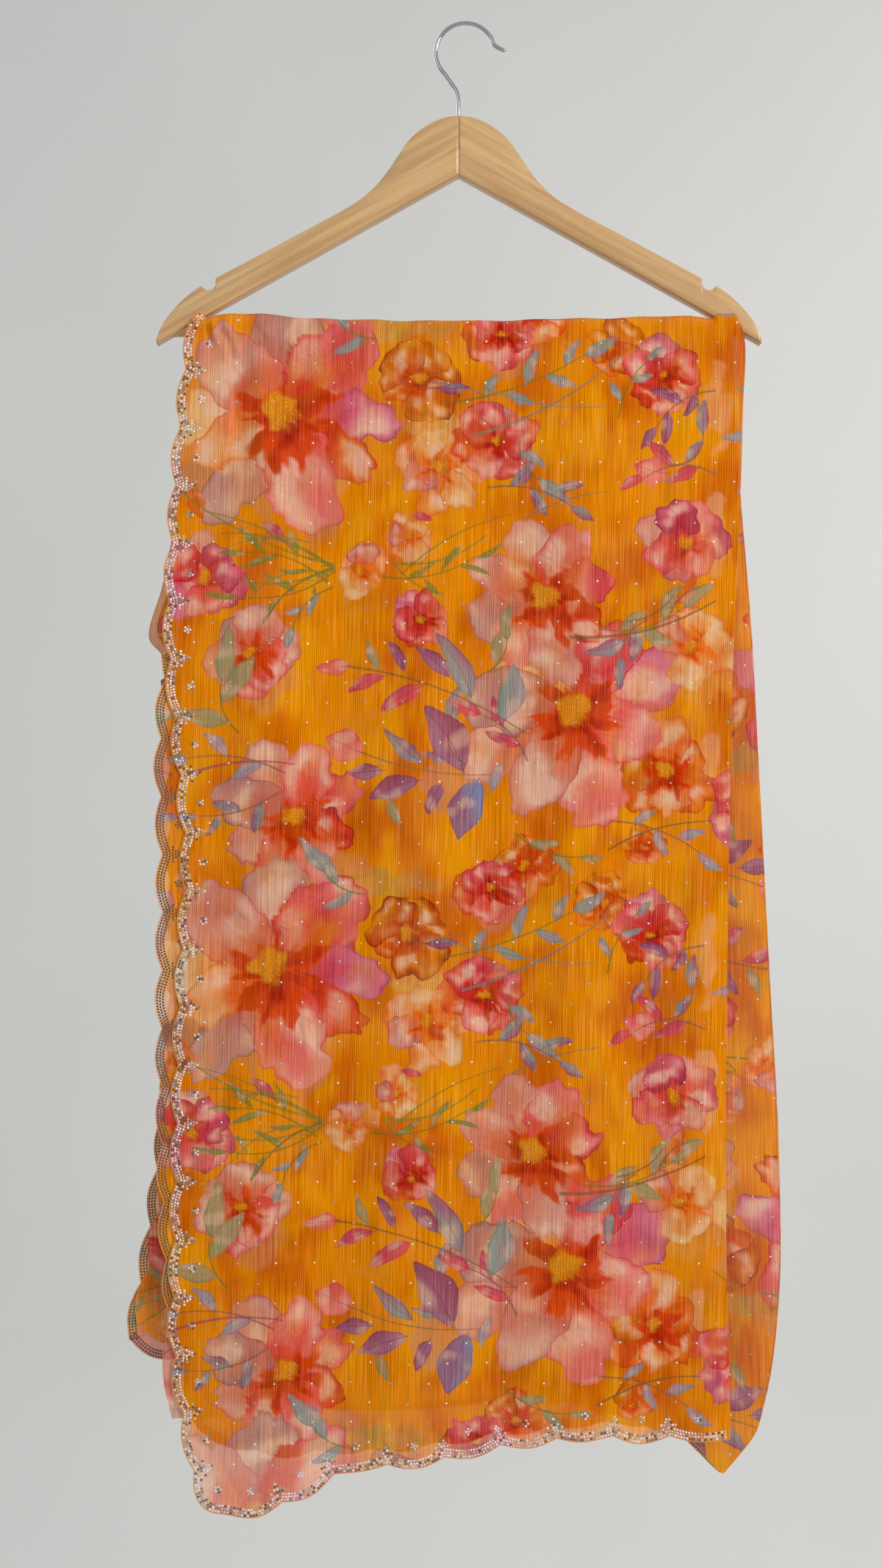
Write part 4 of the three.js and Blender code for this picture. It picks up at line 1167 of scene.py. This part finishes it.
def hook(name, material):
    """The round wire of the hook, rounded at its mouth end."""
    turns = np.linspace(*LOOP_TURNS, 16) * 2 * np.pi
    loop = [(LOOP_RADIUS * math.cos(t), LOOP_CENTRE_Z + LOOP_RADIUS * math.sin(t)) for t in turns]
    line = evenly(flowing([*HOOK_MOUTH, *loop, *HOOK_NECK]), 150)
    route = np.stack([line[:, 0], 0 * line[:, 0], line[:, 1]], axis=1)
    from_end = np.arange(len(route)) * line_length(line) / len(route)
    radius = WIRE_RADIUS * np.sqrt(1 - (1 - np.clip(from_end / WIRE_RADIUS, 0.08, 1)) ** 2)
    points, faces = tube(route, radius, 18)
    return mesh_piece(name, points, faces, material)


# ---------------------------------------------------------------- finishes
# Recipes for nodes: kind, settings, inputs in the order their values are given, and output.

PLACE = ("ShaderNodeTexCoord", {}, (), "Object")
KEPT_COLOUR = ("ShaderNodeAttribute", {}, (), "Color")
KEPT_ALPHA = ("ShaderNodeAttribute", {}, (), "Alpha")
KEPT_VECTOR = ("ShaderNodeAttribute", {}, (), "Vector")
KEPT_VALUE = ("ShaderNodeAttribute", {}, (), "Fac")
STRETCH = ("ShaderNodeVectorMath", {"operation": "MULTIPLY"}, (0, 1), 0)
FIRST = ("ShaderNodeSeparateXYZ", {}, (0,), 0)
SECOND = ("ShaderNodeSeparateXYZ", {}, (0,), 1)
THIRD = ("ShaderNodeSeparateXYZ", {}, (0,), 2)
NOISE = ("ShaderNodeTexNoise", {}, ("Vector", "Scale", "Detail", "Distortion"), 0)
TIMES = ("ShaderNodeMath", {"operation": "MULTIPLY"}, (0, 1), 0)
PLUS = ("ShaderNodeMath", {"operation": "ADD"}, (0, 1), 0)
MINUS = ("ShaderNodeMath", {"operation": "SUBTRACT"}, (0, 1), 0)
SINE = ("ShaderNodeMath", {"operation": "SINE"}, (0,), 0)
UNSIGNED = ("ShaderNodeMath", {"operation": "ABSOLUTE"}, (0,), 0)
LIMITS = ("Value", "From Min", "From Max", "To Min", "To Max")
RAMP = ("ShaderNodeMapRange", {}, LIMITS, 0)
SOFT_RAMP = ("ShaderNodeMapRange", {"interpolation_type": "SMOOTHSTEP"}, LIMITS, 0)
# Sockets 6 and 7 of a mix are its two colours, and output 2 is the mixed colour.
BLEND = ("ShaderNodeMix", {"data_type": "RGBA"}, (0, 6, 7), 2)
DARKEN = ("ShaderNodeMix", {"data_type": "RGBA", "blend_type": "MULTIPLY"}, (0, 6, 7), 2)
RELIEF = ("ShaderNodeBump", {}, ("Strength", "Distance", "Height"), 0)


def add(tree, recipe, *values, **settings):
    """A node by its recipe. Each input gets a plain value, or the socket to link to it."""
    kind, fixed, inputs, output = recipe
    made = tree.nodes.new(kind)
    for name, value in {**fixed, **settings}.items():
        setattr(made, name, value)
    for name, value in zip(inputs, values):
        if isinstance(value, bpy.types.NodeSocket):
            tree.links.new(value, made.inputs[name])
        else:
            made.inputs[name].default_value = value
    return made.outputs[output]


def finish(name, look_of, *details):
    """A material. look_of gets its node tree and gives what goes into the surface's inputs."""
    material = bpy.data.materials.new(name)
    material.use_nodes = True
    tree = material.node_tree
    tree.nodes.clear()
    look = look_of(tree, *details)
    surface = add(tree, ("ShaderNodeBsdfPrincipled", {}, tuple(look), 0), *look.values())
    end = tree.nodes.new("ShaderNodeOutputMaterial")
    tree.links.new(surface, end.inputs[0])
    return material


CRINKLE_PITCH = 1.45  # mm between the yarn crinkles


def uneven(tree, place, across_mm, down_mm, detail=2.0):
    """A random value with patches of this real size."""
    at = add(tree, STRETCH, place, (1 / across_mm, 1 / down_mm, 1))
    return add(tree, NOISE, at, 1.0, detail)


def crinkled(tree, place):
    """The height of the yarn crinkles, which wander, fork and fade, with finer ones between."""
    wandering = add(tree, TIMES, uneven(tree, place, 12, 120), 12)
    turns = add(tree, TIMES, add(tree, FIRST, place), 2 * math.pi / CRINKLE_PITCH)
    strength = add(tree, TIMES, uneven(tree, place, 7, 22), 0.15)
    ridges = add(tree, TIMES, add(tree, SINE, add(tree, PLUS, turns, wandering)), strength)
    return add(tree, PLUS, ridges, uneven(tree, place, 0.75, 50.0))


def painted(tree, place, colour):
    """The layers of paint over the ground, each cut at the edge of its shapes."""
    thin = add(tree, SOFT_RAMP, uneven(tree, place, 24, 34), 0.32, 0.6, 0.6, 1.0)
    wander = add(tree, TIMES, uneven(tree, place, 7.0, 7.0), 2.6)
    feather = add(tree, TIMES, uneven(tree, place, 2.2, 5.0, 3.0), 1.6)
    shift = add(tree, MINUS, add(tree, PLUS, wander, feather), 2.1)
    for layer, (soft, stray, strength, rim) in PAINTS.items():
        depth = add(tree, KEPT_VALUE, attribute_name=layer + "_depth")
        loose = add(tree, PLUS, depth, add(tree, TIMES, shift, stray))
        paint = add(tree, KEPT_COLOUR, attribute_name=layer)
        pooled = add(tree, SOFT_RAMP, loose, -2.4, -0.2, 0.0, rim)
        paint = add(tree, DARKEN, pooled, paint, paint)
        cover = add(tree, SOFT_RAMP, loose, -soft, soft, strength, 0.0)
        if layer.startswith("petals"):
            cover = add(tree, TIMES, cover, thin)
        if layer == "hearts":
            in_eye = add(tree, KEPT_ALPHA, attribute_name=layer)
            dots = add(tree, SOFT_RAMP, uneven(tree, place, 1.3, 1.3, 1.0), 0.58, 0.68, 0.0, 0.6)
            paint = add(tree, BLEND, add(tree, TIMES, dots, in_eye), paint, rgba("#F4CC50"))
        colour = add(tree, BLEND, cover, colour, paint)
    return colour


def stroked(tree, colour):
    """The stems and bare strokes over the paint, cut at their half width."""
    for lines in LINE_SETS:
        route = add(tree, KEPT_VECTOR, attribute_name=lines + "_place")
        side = add(tree, UNSIGNED, add(tree, FIRST, route))
        off_middle = add(tree, MINUS, side, add(tree, THIRD, route))
        drawn = add(tree, SOFT_RAMP, off_middle, -0.3, 0.45, 0.7, 0.0)
        here = add(tree, SOFT_RAMP, add(tree, SECOND, route), 2.2, 3.0, 1.0, 0.0)
        stroke = add(tree, KEPT_COLOUR, attribute_name=lines)
        colour = add(tree, BLEND, add(tree, TIMES, drawn, here), colour, stroke)
    return colour


def chiffon(tree, ground, deep, bright):
    """Printed polyester crepe chiffon: high-twist yarn gives fine irregular crinkles down the
    cloth, the dye lies in it like watercolour, and light comes through between the yarns."""
    place = add(tree, KEPT_VECTOR, attribute_name="cloth_mm")
    crinkle = crinkled(tree, place)
    deeper = add(tree, SOFT_RAMP, uneven(tree, place, 50, 80), 0.4, 0.66, 0.0, 1.0)
    colour = add(tree, BLEND, deeper, rgba(ground), rgba(deep))
    lighter = add(tree, SOFT_RAMP, uneven(tree, place, 30, 60), 0.48, 0.68, 0.0, 0.75)
    colour = add(tree, BLEND, lighter, colour, rgba(bright))
    colour = stroked(tree, painted(tree, place, colour))
    colour = add(tree, DARKEN, 1.0, colour, rgba("#FFFAEE"))  # the base cloth is a warm white
    # Painted highlight: the colour is lightened towards pale peach on the crinkles' crests, as if light
    # caught them.
    painted_crest_highlight = add(tree, SOFT_RAMP, crinkle, 0.52, 0.72, 0.0, 0.12)
    colour = add(tree, BLEND, painted_crest_highlight, colour, rgba("#F8C88C"))
    # Painted shade: the colour is darkened by up to a quarter in the crinkles' valleys and lifted a little
    # on their crests.
    painted_valley_shade = add(tree, SOFT_RAMP, crinkle, 0.3, 0.62, 0.75, 1.13)
    return {
        "Base Color": add(tree, DARKEN, 1.0, colour, painted_valley_shade),
        "Roughness": 0.7,
        "Specular IOR Level": 0.0,
        "Alpha": 0.82,
        "Normal": add(tree, RELIEF, 0.6, 0.5 * MM, crinkle),
    }


def two_toned(tree, patch_mm, tones, look):
    """A plain finish whose two tones drift into each other in patches of this real size."""
    drift = add(tree, NOISE, add(tree, PLACE), 1 / (patch_mm * MM))
    return {"Base Color": add(tree, BLEND, drift, *(rgba(t) for t in tones)), **look}


def cut_glass(tree):
    """Cut glass with a foil back: bright facets, mirror-like, each stone in its own tint, the dark grey
    ones a painted reflection of shade.
    """
    tint = add(tree, KEPT_COLOUR, attribute_name="stone_tint_and_painted_reflection")
    return {"Base Color": tint, "Metallic": 0.25, "Roughness": 0.15, "Coat Weight": 1.0}


def grain(tree, place, along_mm, across_mm, detail):
    """Streaks of this real length and width along the wood."""
    stretched = add(tree, STRETCH, place, (1 / along_mm, 1 / across_mm, 1 / across_mm))
    return add(tree, NOISE, stretched, 1.0, detail, 0.4)


def hardwood(tree, along_grain):
    """Sanded and clear-lacquered light hardwood: long straight grain, fine pores, satin gloss."""
    place = along_grain(tree)
    broad = add(tree, RAMP, grain(tree, place, 120.0, 5.0, 3.0), 0.35, 0.65)
    colour = add(tree, BLEND, broad, rgba("#BA8F5C"), rgba("#D2AB74"))
    fine = grain(tree, place, 26.0, 0.7, 4.0)
    pores = add(tree, TIMES, add(tree, RAMP, fine, 0.58, 0.72), 0.35)
    return {
        "Base Color": add(tree, BLEND, pores, colour, rgba("#8E6234")),
        "Roughness": 0.38,
        "Coat Weight": 0.5,
        "Coat Roughness": 0.2,
        "Normal": add(tree, RELIEF, 0.12, 0.2 * MM, fine),
    }


def along_arm(tree):
    """Millimetres along and across an arm."""
    return add(tree, KEPT_VECTOR, attribute_name="grain_mm")


def along_bar(tree):
    """Millimetres along and across the bar."""
    return add(tree, STRETCH, add(tree, PLACE), (1 / MM, 1 / MM, 1 / MM))


DRAWN_MM = 3.846  # patches in which the wire's polish changes


def chrome(tree):
    """Chrome-plated steel wire: a bright mirror with faint drawing lines."""
    lines = add(tree, NOISE, add(tree, PLACE), 1 / (DRAWN_MM * MM))
    rough = add(tree, RAMP, lines, 0.0, 1.0, 0.06, 0.16)
    return {"Base Color": rgba("#B4B8BA"), "Metallic": 1.0, "Roughness": rough}


# ---------------------------------------------------------------- making the pieces

GROUND = ("#EE9000", "#D46602", "#F4A402")  # mustard orange, where it runs deeper, and brighter
# Two-toned finishes: the size of their patches in mm, their tones and the rest of the look.
THREAD = (1.111, ("#D08A2C", "#E0A868"), {"Roughness": 0.5, "Sheen Weight": 0.3})
GLUE = (2.5, ("#3E3A2E", "#6E6650"), {"Roughness": 0.4})
PLASTER = (769.2, ("#E4E4E2", "#ECECEA"), {"Roughness": 0.9})

printed_cloth = finish("printed_crepe_chiffon", chiffon, *GROUND)
thread = finish("polyester_edge_thread", two_toned, *THREAD)  # a silky line in the ground's colour
glass = finish("foil_backed_cut_glass", cut_glass)
glue = finish("pressed_glue_dots", two_toned, *GLUE)  # small dark olive dots behind the foils
arm_wood = finish("clear_lacquered_hardwood", hardwood, along_arm)
bar_wood = finish("clear_lacquered_bar", hardwood, along_bar)
plated_steel = finish("chrome_plated_steel_wire", chrome)
plaster = finish("matt_painted_plaster", two_toned, *PLASTER)  # pale and shineless

PRINT_START = (-217.0, 0.0)  # where the repeat starts: the x of the border, and down the cloth
BACK_PRINT_START = (-325.0, 100.0)
INNER_FRONT_START, INNER_BACK_START = -300.0, -140.0  # across only
FRONT_COLUMNS, BACK_COLUMNS = (181, 42), (170, 60)  # of the outer and the turned half

saree_front = folded_stretch(
    "saree_front", -1, FRONT_HALVES, FRONT_FOLD, FRONT_COLUMNS, PRINT_START, printed_cloth
)
saree_back = folded_stretch(
    "saree_back", 1, BACK_HALVES, BACK_FOLD, BACK_COLUMNS, BACK_PRINT_START, printed_cloth
)
inner_front = inner_fall(
    "saree_inner_front", -1, FRONT_INNER_EDGE, INNER_FRONT_END_Z, INNER_FRONT_START, printed_cloth
)
inner_back = inner_fall(
    "saree_inner_back", 1, BACK_INNER_EDGE, INNER_BACK_END_Z, INNER_BACK_START, printed_cloth
)

front_outer, front_turned = FRONT_HALVES
front_border = border_places(front_outer)
front_scatter = scattered_places(FRONT_EDGE, FRONT_HEM, FRONT_FOLD)
front_stones = stones("front_border_stones", front_border, -1, OUTER_Y, -1, BORDER_STONE, glass, 3)
front_singles = stones(
    "front_single_stones", front_scatter, -1, OUTER_Y, -1, SINGLE_STONE, glass, 4
)
turned_border = border_places(front_turned)
turned_dots = glue_dots("turned_half_stone_backs", turned_border, -1, TURNED_Y, glue)
back_border = border_places(BACK_HALVES[0])
back_scatter = scattered_places(BACK_EDGE, BACK_HEM, BACK_FOLD)
back_stones = stones("back_border_stones", back_border, 1, OUTER_Y, 1, BORDER_STONE, glass, 5)
back_singles = stones("back_single_stones", back_scatter, 1, OUTER_Y, 1, SINGLE_STONE, glass, 6)
back_dots = glue_dots("back_stone_backs", back_border, 1, OUTER_Y, glue)
strip = back_scatter[back_scatter[:, 0] > STRIP_LEFT]
strip_singles = stones(
    "back_fold_single_stones", strip, 1, TURNED_Y, -1, SINGLE_STONE, glass, 8
)

front_stitch = edge_stitch("front_edge_stitch", FRONT_HALVES, -1, thread)
back_stitch = edge_stitch("back_edge_stitch", BACK_HALVES, 1, thread)

arm_left = arm("hanger_arm_left", -1, arm_wood)
arm_right = arm("hanger_arm_right", 1, arm_wood)
wire_hook = hook("hanger_hook", plated_steel)
bar_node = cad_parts["trouser_bar"]
bar_node.data.materials.clear()
bar_node.data.materials.append(bar_wood)

# ---------------------------------------------------------------- each piece rides on the body, and the solids they replace are hidden

for piece in (
    saree_front, saree_back, inner_front, inner_back, front_stones, front_singles, turned_dots,
    back_stones, back_singles, back_dots, strip_singles, front_stitch, back_stitch,
):
    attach(piece, "root")
for piece in (arm_left, arm_right):
    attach(piece, "root")
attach(wire_hook, "root")

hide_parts("front_fall", "bar_wrap")
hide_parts("back_fall")
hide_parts("front_inner_fall")
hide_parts("back_inner_fall")
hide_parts("arm_left")
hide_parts("arm_right")
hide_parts("hook")

# ---------------------------------------------------------------- floor, backdrop and light

FLOOR_Z = -3200.0
FLOOR_REACH = 40000.0
WALL_Y, WALL_TOP_Z, SWEEP_RADIUS = 4200.0, 5200.0, 900.0
# Round area lights, in metres: name, place, aim, size, power in watts and colour.
LIGHTS = [
    ("window_light", (1.9, -2.1, 0.5), (0, 0, -0.55), 1.0, 50, "#FFF8EE"),
    ("room_light", (-1.6, -2.6, 0.9), (0, 0, -0.55), 2.0, 9, "#F2F6FF"),
    ("rear_light", (-1.2, 2.4, 1.0), (0, 0, -0.6), 1.8, 22, "#FFFFFF"),
    ("wall_light", (2.6, 1.4, 0.8), (1.0, 4.2, -0.5), 1.6, 30, "#FFFAF6"),
]


def stage(material):
    """A pale plaster sweep: floor, curve and wall in one, far below and behind the cloth."""
    turn = np.linspace(0, np.pi / 2, 14)
    curve_y = WALL_Y - SWEEP_RADIUS * (1 - np.sin(turn))
    curve_z = FLOOR_Z + SWEEP_RADIUS * (1 - np.cos(turn))
    profile = [(-FLOOR_REACH, FLOOR_Z), *zip(curve_y, curve_z), (WALL_Y, WALL_TOP_Z)]
    grid = np.array([[(x, y, z) for x in (-FLOOR_REACH, FLOOR_REACH)] for y, z in profile], float)
    floor = mesh_piece("plaster_sweep", grid.reshape(-1, 3), grid_faces(len(profile), 2), material)


def soft_light(name, place, aim, size, power, colour):
    data = bpy.data.lights.new(name, "AREA")
    data.shape = "DISK"
    data.size, data.energy, data.color = size, power, linear(colour)
    lamp = bpy.data.objects.new(name, data)
    lamp.location = place
    away = np.array(place) - np.array(aim)
    tilt = math.acos(away[2] / np.linalg.norm(away))
    lamp.rotation_euler = (tilt, 0, math.atan2(away[1], away[0]) + math.pi / 2)
    bpy.context.scene.collection.objects.link(lamp)


stage(plaster)
for light in LIGHTS:
    soft_light(*light)

world = bpy.data.worlds.new("soft_daylight")
world.use_nodes = True
daylight = world.node_tree.nodes["Background"]
daylight.inputs["Color"].default_value = rgba("#E4E6E8")
daylight.inputs["Strength"].default_value = 0.7
bpy.context.scene.world = world
bpy.context.scene.view_settings.view_transform = "Standard"
